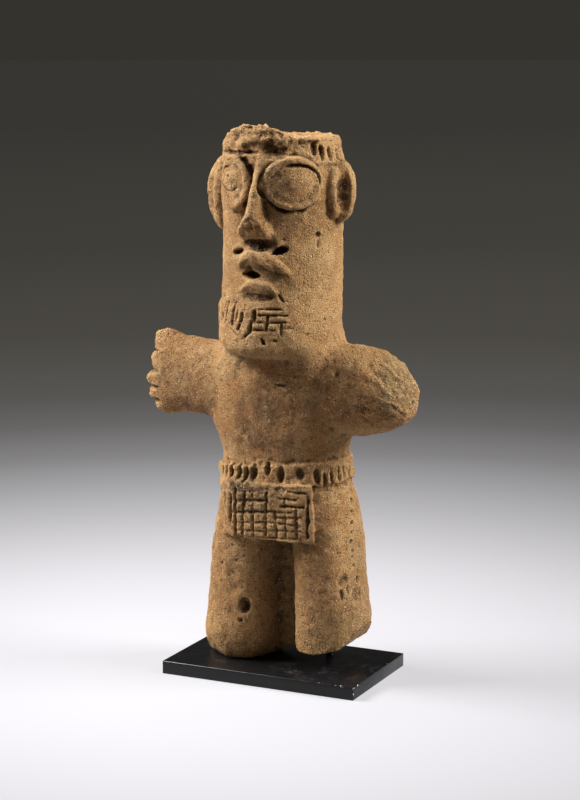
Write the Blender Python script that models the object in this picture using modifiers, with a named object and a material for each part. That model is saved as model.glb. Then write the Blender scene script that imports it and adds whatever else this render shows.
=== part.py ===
"""Fired-clay figurine of a standing priest on its display mount.

The clay figure is one solid: a cylindrical head with disc eyes, a notched belt, a gridded apron,
fused legs with a groove between them, one hand with stub fingers and one arm broken to a stump.
It is held on a flat black plate, on its left sole and on a short post under the raised leg.

Units are metres, +Z is up, the figure faces -Y and the origin is the middle of the plate's underside.
"""

import math

import bmesh
import bpy
import numpy as np
from mathutils import Euler, Matrix, Vector

# Display mount
PLATE_WIDTH = 0.141
PLATE_DEPTH = 0.086
PLATE_THICKNESS = 0.009
PLATE_BEVEL = 0.0006
POST_DIAMETER = 0.0055
POST_HEIGHT = 0.0112
POST_X = 0.027
POST_Y = 0.017
FIT_GAP = 0.0003

# Figure: everything below is in 360ths of its height
FIGURE_HEIGHT = 0.360
UNIT = FIGURE_HEIGHT / 360
FACETS = 9000
BLEND_VOXEL = 2.2
CARVE_VOXEL = 1.5

HEAD_RADIUS = 39.5
HEAD_TOP = 353
EYE_HEIGHT = 325
EYE_RADIUS = 41
EYE_RIM = 3.3
NOSE_TOP = 349
NOSE_TIP = 304
CAP_LOW = 337
CAP_RISE = 2.6
CAP_NOTCHES = 30
EAR_THICKNESS = 24
BEARD_LOW = 213
BEARD_HIGH = 250

HAND_REACH = 93
STUMP_REACH = 96.5
ARM_HEIGHT = 188

BELT_LOW = 126
BELT_HIGH = 141.5
BELT_RISE = 2.2
BELT_TILT = 0.1
BELT_PIVOT = 32
BELT_NOTCHES = 34
BELT_NOTCH_WIDTH = 4.6
BELT_NOTCH_DEPTH = 2.2
APRON_LOW = 88
APRON_HIGH = 127
APRON_LEFT = -27
APRON_RIGHT = 32
APRON_RISE = 4.5
APRON_ROWS = 6
APRON_COLUMNS = 9
GRID_WIDTH = 3.4
GRID_DEPTH = 1.7

GROOVE_LEFT = -11
GROOVE_RIGHT = 11.5
GROOVE_FLARE = 7
GROOVE_FLARE_HEIGHT = 14
GROOVE_EASE = 9
GROOVE_TOP = 98
WEB_FRONT = 1

# Sections: height, middle in X, middle in Y, half width, half depth
TRUNK = (
    (88, 3.0, 4.0, 50.5, 29.0),
    (96, 3.0, 4.0, 50.0, 29.5),
    (108, 2.5, 3.5, 48.5, 29.5),
    (120, 1.5, 3.0, 45.5, 29.0),
    (134, 0.8, 2.5, 43.0, 28.5),
    (143, 1.0, 2.0, 43.0, 28.0),
    (152, 0.8, 1.0, 45.0, 28.5),
    (162, 0.0, 0.5, 49.0, 30.0),
    (190, 0.0, 0.0, 51.0, 32.0),
    (206, 0.0, 0.5, 48.0, 31.5),
    (218, 0.0, 1.0, 41.0, 30.0),
    (240, 0.0, 1.0, 35.0, 30.0),
)
NEAR_LEG = (
    (0, -31.5, 1.0, 22.5, 19.0),
    (6, -32.0, 2.5, 24.5, 23.5),
    (24, -30.5, 3.5, 25.0, 26.5),
    (50, -28.0, 3.5, 23.5, 27.5),
    (80, -26.5, 3.5, 22.5, 28.0),
    (100, -24.0, 3.5, 21.5, 27.5),
)
FAR_LEG = (
    (0, 35.0, 3.0, 21.5, 24.0),
    (14, 35.5, 3.5, 22.5, 26.5),
    (34, 35.5, 3.5, 23.5, 27.0),
    (56, 33.5, 3.5, 21.5, 27.5),
    (80, 32.5, 3.5, 21.0, 28.0),
    (100, 30.0, 3.5, 20.5, 27.5),
)
HEAD = (
    (211, 0.0, -2.0, 33.0, 36.0),
    (217, 0.0, -4.0, 38.5, 43.0),
    (236, 0.0, -4.5, 39.5, 43.5),
    (258, 0.0, -1.5, 39.5, 41.0),
    (290, 0.0, 0.0, 39.5, 39.5),
    (325, 0.0, 0.0, 41.0, 40.0),
    (338, 0.0, 0.0, 39.0, 39.0),
    (345, 0.0, 0.0, 36.5, 37.5),
    (HEAD_TOP + 12, -2.0, 0.0, 33.0, 35.0),
)
# Arms: reach in X, middle height above ARM_HEIGHT, middle in Y, half height, half thickness
HAND_ARM = (
    (-16, 0.0, 0.0, 24.0, 27.0),
    (-42, 1.0, -0.5, 26.0, 24.0),
    (-58, 1.5, -1.0, 26.0, 19.5),
    (-76, 3.5, -1.5, 26.5, 15.0),
    (-86, 4.5, -1.5, 26.5, 12.5),
    (-HAND_REACH, 4.5, -1.5, 25.0, 10.0),
)
STUMP_ARM = (
    (16, -1.0, 0.0, 28.0, 28.0),
    (44, 0.0, -0.5, 30.5, 26.0),
    (60, 0.5, -0.5, 30.0, 23.5),
    (74, 1.0, -0.5, 27.5, 21.5),
    (85, 0.0, -0.5, 21.5, 18.0),
    (92, -2.0, -0.5, 14.5, 13.0),
    (STUMP_REACH, -3.0, -0.5, 6.5, 6.0),
)
# Stub fingers: height, reach beyond the palm, half height
FINGERS = ((213.5, 3.6, 8.0), (199.4, 5.8, 7.6), (186.5, 10.2, 7.2), (176.0, 7.8, 6.8), (168.0, 2.2, 6.4))
# Ears: side, height of the middle, length, reach in X
EARS = ((-1, 314.5, 51, 54.0), (1, 319, 42, 52.5))
# Disc eyes: turn from the front in degrees, half width round the head, half height, then the dome's
# shift across and up and its half width and half height
EYES = (
    (-23.5, 14.4, 18.0, -3.2, 1.8, 6.6, 5.8),
    (34.3, 20.3, 18.0, 1.4, 0.6, 13.5, 9.5),
)


def between(rows, height):
    """Return the section at a height, eased between the two rows around it."""
    table = np.array(rows, float)
    return [float(np.interp(height, table[:, 0], table[:, k])) for k in range(1, 5)]


def oval(half_width, half_depth, power, count=48):
    """Return the points of a superellipse, anticlockwise from +X."""
    angle = np.linspace(0, 2 * math.pi, count, endpoint=False)
    cos, sin = np.cos(angle), np.sin(angle)
    wide = half_width * np.sign(cos) * np.abs(cos) ** (2 / power)
    deep = half_depth * np.sign(sin) * np.abs(sin) ** (2 / power)
    return np.stack([wide, deep], axis=1)


def loft(rings):
    """Return a closed mesh through rings of points, with flat ends."""
    mesh = bmesh.new()
    rows = [[mesh.verts.new(Vector(p) * UNIT) for p in ring] for ring in rings]
    for low, high in zip(rows, rows[1:]):
        for i in range(len(low)):
            j = (i + 1) % len(low)
            mesh.faces.new((low[i], low[j], high[j], high[i]))
    mesh.faces.new(rows[0][::-1])
    mesh.faces.new(rows[-1])
    bmesh.ops.recalc_face_normals(mesh, faces=mesh.faces)
    return mesh


def upright(rows, power=2.0, steps=24, grow=0.0, low=None, high=None):
    """Loft level sections between two heights, each one wider by grow."""
    low = rows[0][0] if low is None else low
    high = rows[-1][0] if high is None else high
    rings = []
    for height in np.linspace(low, high, steps):
        x, y, half_width, half_depth = between(rows, height)
        flat = oval(half_width + grow, half_depth + grow, power)
        rings.append([(x + px, y + py, height) for px, py in flat])
    return loft(rings)


def sideways(rows, power=2.3, steps=20):
    """Loft sections that stand across X, for an arm."""
    ordered = sorted(rows)
    rings = []
    for reach in np.linspace(ordered[0][0], ordered[-1][0], steps):
        up, y, half_height, half_thick = between(ordered, reach)
        flat = oval(half_thick, half_height, power)
        rings.append([(reach, y + px, ARM_HEIGHT + up + pz) for px, pz in flat])
    return loft(rings)


def ball(middle, radii, turn=(0, 0, 0)):
    """Return an ellipsoid, turned by degrees about X, Y and Z."""
    mesh = bmesh.new()
    spin = Euler([math.radians(a) for a in turn]).to_matrix().to_4x4()
    bmesh.ops.create_uvsphere(mesh, u_segments=32, v_segments=16, radius=UNIT)
    size = Matrix.Diagonal((*radii, 1.0))
    place = Matrix.Translation(Vector(middle) * UNIT)
    bmesh.ops.transform(mesh, verts=mesh.verts, matrix=place @ spin @ size)
    return mesh


def ring(half_width, half_height, thick):
    """Return an oval ring of round section round the origin, whose axis points along Y."""
    rows = []
    for t in np.linspace(0, 2 * math.pi, 48, endpoint=False):
        out = Vector((math.cos(t), 0, math.sin(t)))
        row = []
        for s in np.linspace(0, 2 * math.pi, 12, endpoint=False):
            across = math.cos(s) * thick
            wide, tall = out.x * (half_width + across), out.z * (half_height + across)
            row.append(Vector((wide, math.sin(s) * thick, tall)))
        rows.append(row)
    mesh = bmesh.new()
    verts = [[mesh.verts.new(p * UNIT) for p in row] for row in rows]
    for i in range(len(verts)):
        for j in range(12):
            k, m = (i + 1) % len(verts), (j + 1) % 12
            mesh.faces.new((verts[i][j], verts[k][j], verts[k][m], verts[i][m]))
    bmesh.ops.recalc_face_normals(mesh, faces=mesh.faces)
    return mesh


def wrapped(mesh, turn):
    """Bend a piece laid at the origin round the head, with its -Y pointing outwards."""
    for vertex in mesh.verts:
        across, inward, up = vertex.co / UNIT
        angle = math.radians(turn) + across / EYE_RADIUS
        out = EYE_RADIUS - inward
        vertex.co = Vector((out * math.sin(angle), -out * math.cos(angle), EYE_HEIGHT + up)) * UNIT
    return mesh


def slice_off(mesh, point, normal):
    """Cut away what lies beyond a plane and close the cut."""
    geometry = mesh.verts[:] + mesh.edges[:] + mesh.faces[:]
    cut = bmesh.ops.bisect_plane(
        mesh, geom=geometry, plane_co=Vector(point) * UNIT, plane_no=Vector(normal), clear_outer=True
    )
    edges = [item for item in cut["geom_cut"] if isinstance(item, bmesh.types.BMEdge)]
    bmesh.ops.edgeloop_fill(mesh, edges=edges)
    bmesh.ops.recalc_face_normals(mesh, faces=mesh.faces)
    return mesh


def masses():
    """The body of the figure before anything is laid on it."""
    near_leg = slice_off(upright(NEAR_LEG, 2.7), (-47, -8, 0), (-0.63, -0.77, -0.6))
    pieces = [
        upright(TRUNK, 2.6),
        near_leg,
        upright(FAR_LEG, 2.7),
        upright(HEAD, 2.0, steps=40),
        sideways(HAND_ARM),
        sideways(STUMP_ARM, power=2.1),
        ball((5, 14, 45), (24, 13 - WEB_FRONT, 62)),
    ]
    for height, reach, half_height in FINGERS:
        tip = HAND_REACH + reach
        pieces.append(ball((-tip + 11, -1.5, height), (11, 8.5, half_height), (0, 0, 4)))
    return pieces


def dressings():
    """What the maker laid on the body: eyes, nose, lips, beard, cap band, ears, belt and apron."""
    pieces = []
    for turn, wide, tall, shift, lift, dome_wide, dome_tall in EYES:
        pieces.append(wrapped(ring(wide - EYE_RIM, tall - EYE_RIM, EYE_RIM), turn))
        pieces.append(wrapped(ball((0, 0, 0), (wide - EYE_RIM, 3.0, tall - EYE_RIM)), turn))
        pieces.append(wrapped(ball((shift, 0, lift), (dome_wide, 4.4, dome_tall)), turn))
    for side, high, length, reach in EARS:
        middle = (side * (reach - EAR_THICKNESS / 2), 0, high)
        pieces.append(ball(middle, (EAR_THICKNESS / 2, 8.5, length / 2), (0, 0, side * -18)))
    pieces.append(nose())
    pieces.append(ball((-1, -37.5, 273), (12.5, 9.5, 8.5)))
    pieces.append(ball((12.5, -37, 274.5), (11.5, 5.5, 3.6), (0, 36, 16)))
    pieces.append(ball((-11, -37, 275), (7.5, 5.0, 3.4), (0, -36, -14)))
    pieces.append(ball((1.5, -39, 258.5), (14, 8.5, 5.8), (8, 0, 0)))
    beard = (
        (BEARD_LOW, -3.0, -9.0, 27.0, 37.0),
        (BEARD_LOW + 6, -3.0, -9.0, 35.0, 40.5),
        (BEARD_HIGH - 6, -3.0, -7.0, 36.5, 39.5),
        (BEARD_HIGH, -3.0, -6.0, 34.0, 36.0),
    )
    pieces.append(upright(beard, 2.0, steps=16))
    crown = (
        (CAP_LOW, 0.0, 0.0, 38.0, 38.0),
        (CAP_LOW + 8, -0.5, 0.0, 36.0, 36.5),
        (HEAD_TOP + 12, -2.5, 0.0, 33.0, 35.0),
    )
    pieces.append(upright(crown, grow=CAP_RISE))
    belt = upright(TRUNK, 2.5, steps=8, grow=BELT_RISE, low=BELT_LOW, high=BELT_HIGH)
    for vertex in belt.verts:
        vertex.co.z += BELT_TILT * (vertex.co.x - BELT_PIVOT * UNIT)
    pieces.append(belt)
    apron = upright(TRUNK, 2.8, steps=16, grow=APRON_RISE, low=APRON_LOW, high=APRON_HIGH)
    slice_off(apron, (APRON_LEFT, 0, APRON_HIGH), (-1, 0, 0.18))
    slice_off(apron, (APRON_RIGHT, 0, APRON_HIGH), (1, 0, 0.05))
    slice_off(apron, (0, -6, APRON_LOW), (0, 1, 0))
    pieces.append(apron)
    return pieces


def nose():
    """A thin straight ridge that ends in the scar of the broken tip, wider over the mouth."""
    rows = (
        (NOSE_TIP - 16, -1.0, -34.0, 9.0, 8.0),
        (NOSE_TIP - 12, -1.0, -34.0, 12.5, 11.5),
        (NOSE_TIP - 6, -0.5, -34.0, 9.0, 15.0),
        (NOSE_TIP, 0.0, -34.0, 5.2, 17.5),
        (NOSE_TIP + 14, 2.0, -34.0, 4.8, 15.5),
        (NOSE_TIP + 27, 4.0, -34.0, 4.6, 13.5),
        (NOSE_TOP, 4.0, -34.0, 4.6, 12.0),
    )
    return upright(rows, 1.7, steps=24)


def fuse(name, pieces, voxel, smoothing):
    """Fuse overlapping closed pieces into one even skin and soften it."""
    whole = bmesh.new()
    for piece in pieces:
        mesh = bpy.data.meshes.new("piece")
        piece.to_mesh(mesh)
        whole.from_mesh(mesh)
        piece.free()
        bpy.data.meshes.remove(mesh)
    mesh = bpy.data.meshes.new(name)
    whole.to_mesh(mesh)
    whole.free()
    body = bpy.data.objects.new(name, mesh)
    bpy.context.scene.collection.objects.link(body)
    remesh = body.modifiers.new("Fuse", "REMESH")
    remesh.mode = "VOXEL"
    remesh.voxel_size = voxel * UNIT
    soften = body.modifiers.new("Soften", "SMOOTH")
    soften.factor = 0.5
    soften.iterations = smoothing
    skin = baked(body)
    bpy.data.objects.remove(body)
    return skin


def baked(body):
    """Return the object's evaluated mesh as a mesh of its own."""
    bpy.context.view_layer.update()
    graph = bpy.context.evaluated_depsgraph_get()
    return bpy.data.meshes.new_from_object(body.evaluated_get(graph))


class Skin:
    """Points of the clay skin, in 360ths of the figure's height, with the cuts made in them."""

    def __init__(self, mesh):
        self.mesh = mesh
        count = len(mesh.vertices)
        points = np.empty(count * 3, np.float32)
        mesh.vertices.foreach_get("co", points)
        self.points = points.reshape(-1, 3).astype(float) / UNIT
        normals = np.empty(count * 3, np.float32)
        mesh.vertex_normals.foreach_get("vector", normals)
        self.normals = normals.reshape(-1, 3).astype(float)
        self.depth = np.zeros(count)

    def store(self):
        """Sink each point by its cut depth and write the points back to the mesh."""
        self.points -= self.normals * self.depth[:, None]
        self.depth[:] = 0
        self.mesh.vertices.foreach_set("co", (self.points * UNIT).astype(np.float32).ravel())
        self.mesh.update()

    def cut(self, mask, distance, half_width, depth):
        """Deepen the cut to a rounded profile where a point lies within half_width of the line."""
        near = np.clip(1 - (distance / half_width) ** 2, 0, 1) ** 1.3
        self.depth = np.maximum(self.depth, np.where(mask, near * depth, 0))

    def front(self, low, high, lean=0.15):
        """Mask of the points that face forward between two heights."""
        z = self.points[:, 2]
        return (self.normals[:, 1] < -lean) & (z > low) & (z < high)

    def line(self, start, end):
        """Distance in the front view, X and Z, to a stroke."""
        a, b = np.array(start, float), np.array(end, float)
        flat = self.points[:, [0, 2]]
        along = np.clip(((flat - a) @ (b - a)) / max((b - a) @ (b - a), 1e-9), 0, 1)
        return np.linalg.norm(flat - a - along[:, None] * (b - a), axis=1)

    def stroke(self, start, end, width, depth):
        """Cut a stroke into the front."""
        low, high = min(start[1], end[1]) - width, max(start[1], end[1]) + width
        self.cut(self.front(low, high), self.line(start, end), width / 2, depth)

    def pit(self, middle, radii, depth, front=True):
        """Cut an oval pit, seen in the front view or measured round a point."""
        gap = (self.points - np.array(middle, float)) / np.array(radii, float)
        if front:
            distance = np.hypot(gap[:, 0], gap[:, 2])
            mask = self.front(middle[2] - radii[2], middle[2] + radii[2], 0.05)
        else:
            distance = np.linalg.norm(gap, axis=1)
            mask = distance < 1
        self.cut(mask, distance, 1.0, depth)


def grain(points, size, seed):
    """Smooth unevenness between -1 and 1, as a sum of waves in many directions."""
    rng = np.random.default_rng(seed)
    total = np.zeros(len(points))
    for k in range(10):
        way = rng.normal(size=3)
        way /= np.linalg.norm(way)
        pitch = size * rng.uniform(0.7, 1.6)
        total += np.sin(points @ way * (2 * math.pi / pitch) + rng.uniform(0, 2 * math.pi))
    return total / 4.5


def press_groove(skin):
    """Press the groove between the legs, deep in front and shallow behind."""
    x, y, z = skin.points.T
    left = GROOVE_LEFT - GROOVE_FLARE * np.clip(1 - z / GROOVE_FLARE_HEIGHT, 0, 1)
    gentle = np.clip((x - left) / GROOVE_EASE, 0, 1)
    steep = np.clip((GROOVE_RIGHT - x) / GROOVE_EASE * 2.5, 0, 1)
    press = gentle**2 * (3 - 2 * gentle) * steep * (2 - steep)
    fade = np.clip((GROOVE_TOP - z) / 12, 0, 1)
    deep = np.where((y < WEB_FRONT) & (z < GROOVE_TOP), fade * press, 0)
    skin.points[:, 1] += deep * (WEB_FRONT - y)
    across = (x - (GROOVE_LEFT + GROOVE_RIGHT) / 2 - 2) / (GROOVE_RIGHT - GROOVE_LEFT) * 2
    hollow = np.clip((GROOVE_TOP - z) / 40, 0, 1) * np.clip(1 - across**2, 0, 1)
    skin.points[:, 1] -= np.where(y > 20, hollow, 0) * 7


def break_top(skin):
    """Break the top of the head off unevenly and knock away the band over the nose."""
    x, y, z = skin.points.T
    edge = HEAD_TOP + 0.8 * grain(skin.points * [1, 1, 0], 24, 3)
    edge += 7.5 * np.exp(-(((x - 1) / 16) ** 2) - ((y + 36) / 18) ** 2)
    edge += 4.5 * np.exp(-(((x + 16) / 8) ** 2) - ((y + 28) / 14) ** 2)
    edge -= 4.0 * np.exp(-((x / 24) ** 2) - ((y - 8) / 20) ** 2)
    skin.points[:, 2] = np.minimum(z, edge)


def break_stump(skin):
    """Leave the broken end of the arm ragged."""
    x = skin.points[:, 0]
    near = np.clip((x - 66) / 16, 0, 1)
    skin.points += skin.normals * (near * 1.3 * grain(skin.points, 16, 11))[:, None]


def wear_soles(skin):
    """Flatten the near sole on the plate and lift the worn sole of the far leg over the post."""
    x, y, z = skin.points.T
    near = FIT_GAP / UNIT + 0.12 * np.clip(np.abs(x + 31) - 20, 0, 40)
    web = np.clip((x + 10) / 26, 0, 1)
    far = POST_HEIGHT / UNIT + FIT_GAP / UNIT + 0.28 * np.clip(x - 33, 0, 60) + 1.2 * np.clip(x - 50, 0, 20)
    sole = near * (1 - web) + far * web
    skin.points[:, 2] = np.maximum(z, np.where(x < -10, near, np.where(x > 16, far, sole)))


def carve_face(skin):
    """Open the nostrils and mouth, hollow the ears and cut the beard's grid."""
    skin.pit((-15.0, 0, 281.0), (4.6, 1, 2.6), 5.0)
    skin.pit((16.0, 0, 282.0), (5.8, 1, 3.0), 6.0)
    skin.pit((-3.0, 0, 267.2), (7.6, 1, 3.2), 6.0)
    skin.pit((3.0, 0, 285.5), (9.0, 1, 4.6), 3.4)
    skin.pit((15.0, 0, 346.0), (10.0, 1, 7.0), 3.8)
    skin.pit((31.0, 0, 293.0), (1.6, 1, 4.0), 1.4)
    for side, high, length, reach in EARS:
        skin.pit((side * (reach - 7), -8, high - 1), (7.0, 8.5, length * 0.4), 4.2, front=False)
    rows = (247.5, 243.0, 238.5, 232.5, 228.0)
    for k, height in enumerate(rows):
        skin.stroke((-6 + 3 * (k % 2), height), (22 - 2 * k, height + 0.8), 2.6, 1.3)
    for k, across in enumerate((-31, -24.5, -18.5, -11.5, -5.0, 1.5, 8.5, 15.5)):
        foot = 224 + 2.5 * (k % 3)
        skin.stroke((across, 249 - 2 * (k % 2)), (across + 1.5, foot), 2.8, 1.5)
    skin.pit((7.5, 0, 226), (2.4, 1, 2.2), 2.4)
    skin.pit((29, 0, 232), (2.6, 1, 2.0), 1.5)


def carve_cap(skin):
    """Cut upright notches into the cap band where it has survived."""
    x, y, z = skin.points.T
    turn = np.arctan2(y, x)
    step = 2 * math.pi / CAP_NOTCHES
    away = np.abs((turn + 0.5 * step) % step - step / 2) * HEAD_RADIUS
    broken = (turn < math.radians(-58)) & (turn > math.radians(-150))
    height = CAP_LOW + 5.5
    mask = (z > CAP_LOW - 2) & (z < HEAD_TOP - 3) & ~broken & (np.hypot(x, y) > HEAD_RADIUS)
    fade = np.clip(1.4 - np.abs(z - height) / 6.5, 0, 1)
    skin.cut(mask, away / np.maximum(fade, 1e-3), 2.1, 2.6)
    rough = np.where(broken & (z > CAP_LOW), 1.3, 0) * grain(skin.points, 9, 21)
    skin.points += skin.normals * rough[:, None]


def carve_belt(skin):
    """Cut the belt's upright notches all the way round, a little unevenly."""
    x, y, z = skin.points.T
    turn = np.arctan2(y - 2.5, x)
    round_way = (turn / (2 * math.pi) % 1) * BELT_NOTCHES
    round_way += 0.22 * np.sin(round_way * 2.1) + 0.13 * np.sin(round_way * 3.7 + 1)
    number = np.round(round_way)
    long = 0.9 + 0.18 * np.sin(number * 1.9)
    girth = 2 * math.pi * 38.5 / BELT_NOTCHES
    away = np.abs(round_way - number) * girth
    middle = (BELT_LOW + BELT_HIGH) / 2 + BELT_TILT * (x - BELT_PIVOT) + 0.8 * np.sin(number * 2.7)
    half = (BELT_HIGH - BELT_LOW) / 2 * long
    fade = np.clip(1.25 - (np.abs(z - middle) / half) ** 2, 0, 1)
    reach = np.hypot(x / 45, (y - 2.5) / 31)
    mask = (z > BELT_LOW - 6) & (z < BELT_HIGH + 5) & (reach > 0.85) & (np.abs(x) < 60)
    wide = BELT_NOTCH_WIDTH / 2 * (1 + 0.25 * np.sin(number * 1.3))
    near = np.clip(1 - (away / wide) ** 2, 0, 1) * fade
    skin.depth = np.maximum(skin.depth, np.where(mask, near * BELT_NOTCH_DEPTH, 0))


def carve_apron(skin):
    """Cut the apron's rows and columns and the slot along its border strip."""
    high, low = APRON_HIGH - 4.5, APRON_LOW + 6
    for k in range(APRON_ROWS):
        height = high - (high - low) * k / (APRON_ROWS - 1)
        right = APRON_RIGHT - (7 if k else 3)
        skin.stroke((APRON_LEFT + 2, height - 2.2), (right, height + 1.6), GRID_WIDTH, GRID_DEPTH)
    for k in range(APRON_COLUMNS):
        across = APRON_LEFT + 5 + (APRON_RIGHT - APRON_LEFT - 12) * k / (APRON_COLUMNS - 1)
        foot = low - 1 + 3 * (k % 2)
        skin.stroke((across, high + 2), (across + 1.5, foot), GRID_WIDTH, GRID_DEPTH)
    slot = APRON_RIGHT - 6.5
    skin.stroke((slot, high - 12), (slot - 0.5, low + 1), 3.6, 2.8)


def carve_body(skin):
    """Sink the pits of the legs, the chest and the flank."""
    skin.pit((-15.1, 0, 40.7), (3.8, 1, 5.6), 5.5)
    skin.pit((-19.6, 0, 30.5), (2.0, 1, 1.8), 2.0)
    skin.pit((16.2, 0, 193.0), (3.6, 1, 1.6), 1.3)
    for k in range(8):
        skin.pit((51, -13 + 0.3 * k, 122 - 5.6 * k), (5.0, 2.6, 2.2), 2.0, front=False)
    for x, y, z in ((50, -20, 64), (55, -6, 63), (54, -14, 54), (56, -7, 50)):
        skin.pit((x, y, z), (5.5, 2.8, 4.6), 2.8, front=False)
    x, y, z = skin.points.T
    for upper, lower in zip(FINGERS, FINGERS[1:]):
        height = (upper[0] - upper[2] + lower[0] + lower[2]) / 2
        skin.cut(x < -HAND_REACH + 6, np.abs(z - height), 1.8, 1.3)


def clay(collection):
    """Model the fired-clay figure and stand it over the plate."""
    core = fuse("core", masses(), BLEND_VOXEL, 14)
    skin = Skin(core)
    press_groove(skin)
    skin.store()
    kernel = bmesh.new()
    kernel.from_mesh(core)
    bpy.data.meshes.remove(core)
    mesh = fuse("figurine", [kernel, *dressings()], CARVE_VOXEL, 2)
    skin = Skin(mesh)
    break_top(skin)
    break_stump(skin)
    skin.store()
    skin = Skin(mesh)
    for carve in (carve_face, carve_cap, carve_belt, carve_apron, carve_body):
        carve(skin)
    skin.store()
    skin.points[:, 2] = np.maximum(skin.points[:, 2], FIT_GAP / UNIT)
    wear_soles(skin)
    skin.store()
    body = bpy.data.objects.new("figurine", mesh)
    collection.objects.link(body)
    body.location.z = PLATE_THICKNESS
    mesh.calc_loop_triangles()
    thin = body.modifiers.new("Facets", "DECIMATE")
    thin.ratio = FACETS / len(mesh.loop_triangles)
    thin.use_collapse_triangulate = True
    return body


def plate(collection):
    """The flat display plate, its edges just broken."""
    bpy.ops.mesh.primitive_cube_add(size=1)
    body = bpy.context.object
    body.name = body.data.name = "base_plate"
    body.data.transform(Matrix.Diagonal((PLATE_WIDTH, PLATE_DEPTH, PLATE_THICKNESS, 1)))
    body.location.z = PLATE_THICKNESS / 2
    edge = body.modifiers.new("Edge", "BEVEL")
    edge.width = PLATE_BEVEL
    edge.segments = 2
    move(body, collection)
    return body


def post(collection):
    """The short post that stands on the plate and carries the far leg."""
    bpy.ops.mesh.primitive_cylinder_add(vertices=32, radius=POST_DIAMETER / 2, depth=POST_HEIGHT - FIT_GAP)
    body = bpy.context.object
    body.name = body.data.name = "support_post"
    body.location = (POST_X, POST_Y, PLATE_THICKNESS + (POST_HEIGHT + FIT_GAP) / 2)
    move(body, collection)
    body.data.shade_smooth()
    body.data.set_sharp_from_angle(angle=math.radians(40))
    return body


def move(body, collection):
    """Put an object in the figure's collection alone."""
    for other in body.users_collection:
        other.objects.unlink(body)
    collection.objects.link(body)


def finish(body, name, colour, roughness):
    """Give the object its material."""
    material = bpy.data.materials.new(name)
    material.use_nodes = True
    shader = material.node_tree.nodes["Principled BSDF"]
    shader.inputs["Base Color"].default_value = (*colour, 1)
    shader.inputs["Roughness"].default_value = roughness
    shader.inputs["Metallic"].default_value = 0
    body.data.materials.clear()
    body.data.materials.append(material)


def main():
    for old in list(bpy.data.objects):
        bpy.data.objects.remove(old)
    collection = bpy.data.collections.new("Priest figurine")
    bpy.context.scene.collection.children.link(collection)
    finish(clay(collection), "Fired clay", (0.42, 0.27, 0.16), 0.95)
    finish(plate(collection), "Black painted metal", (0.012, 0.012, 0.013), 0.35)
    finish(post(collection), "Black painted metal", (0.012, 0.012, 0.013), 0.4)


main()
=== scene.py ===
"""Looks of a fired-clay priest figurine on its black display mount.

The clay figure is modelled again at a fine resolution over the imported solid, from the same
sections, and is then worn, pitted, notched and gritted. The plate and its post are dressed in
scuffed black paint. A pale floor that falls off into grey, soft studio lights and the
photograph's camera complete the scene. Lengths of the clay are in 360ths of its height.
"""

from __future__ import annotations

import logging
import math
from collections.abc import Iterable, Sequence
from dataclasses import dataclass, field
from enum import Enum
from typing import Any

import bpy
import numpy as np
from mathutils import Euler, Matrix, Vector
from mathutils.kdtree import KDTree

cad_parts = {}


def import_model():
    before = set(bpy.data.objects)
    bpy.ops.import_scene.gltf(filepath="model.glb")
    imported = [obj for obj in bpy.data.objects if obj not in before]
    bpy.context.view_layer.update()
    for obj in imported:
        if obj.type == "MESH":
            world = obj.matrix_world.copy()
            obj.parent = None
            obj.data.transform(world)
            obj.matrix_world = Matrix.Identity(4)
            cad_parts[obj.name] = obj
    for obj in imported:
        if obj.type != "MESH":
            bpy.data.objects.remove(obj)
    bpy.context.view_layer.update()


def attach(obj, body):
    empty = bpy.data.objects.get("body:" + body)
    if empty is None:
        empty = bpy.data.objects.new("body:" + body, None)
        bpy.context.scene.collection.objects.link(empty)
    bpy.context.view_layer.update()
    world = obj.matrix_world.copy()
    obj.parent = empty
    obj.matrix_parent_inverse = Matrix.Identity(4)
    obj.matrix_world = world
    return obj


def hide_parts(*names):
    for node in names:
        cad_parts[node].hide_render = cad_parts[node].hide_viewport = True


log = logging.getLogger("figurine")

Array = np.ndarray
Point = tuple[float, float, float]
# Place along a form, two middles and two half widths of its section there
Row = tuple[float, float, float, float, float]
# A point and an outward normal
Plane = tuple[Point, Point]
# Middle, half sizes and turns in degrees
Pellet = tuple[Point, Point, Point]
# Middle, half sizes, depth and softness of the rim
Dent = tuple[Point, Point, float, float]
# X and height of both ends, width and depth
Stroke = tuple[float, float, float, float, float, float]
# X, height, half length, half opening, tilt in degrees and depth
Slot = tuple[float, float, float, float, float, float]
# X, height, half width, half height and depth
Hole = tuple[float, float, float, float, float]
# Turn in degrees, height, width, half length and share of the depth
Notch = tuple[float, float, float, float, float]
# Half width and half height of an oval, first and last angle on it in degrees anticlockwise from
# the viewer's right, width, depth, and where the oval's middle lies from its disc's
Score = tuple[float, float, tuple[float, float], float, float, tuple[float, float]]
# Middle, half sizes and strength
Stain = tuple[Point, Point, float]

UNIT = 0.001
PLATE_TOP = 9.0


class Axis(Enum):
    """The way a limb or column runs."""

    UP = "up"
    ACROSS = "across"


class Side(Enum):
    """The figure's two sides as the viewer sees them from the front."""

    LEFT = -1
    RIGHT = 1


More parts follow.
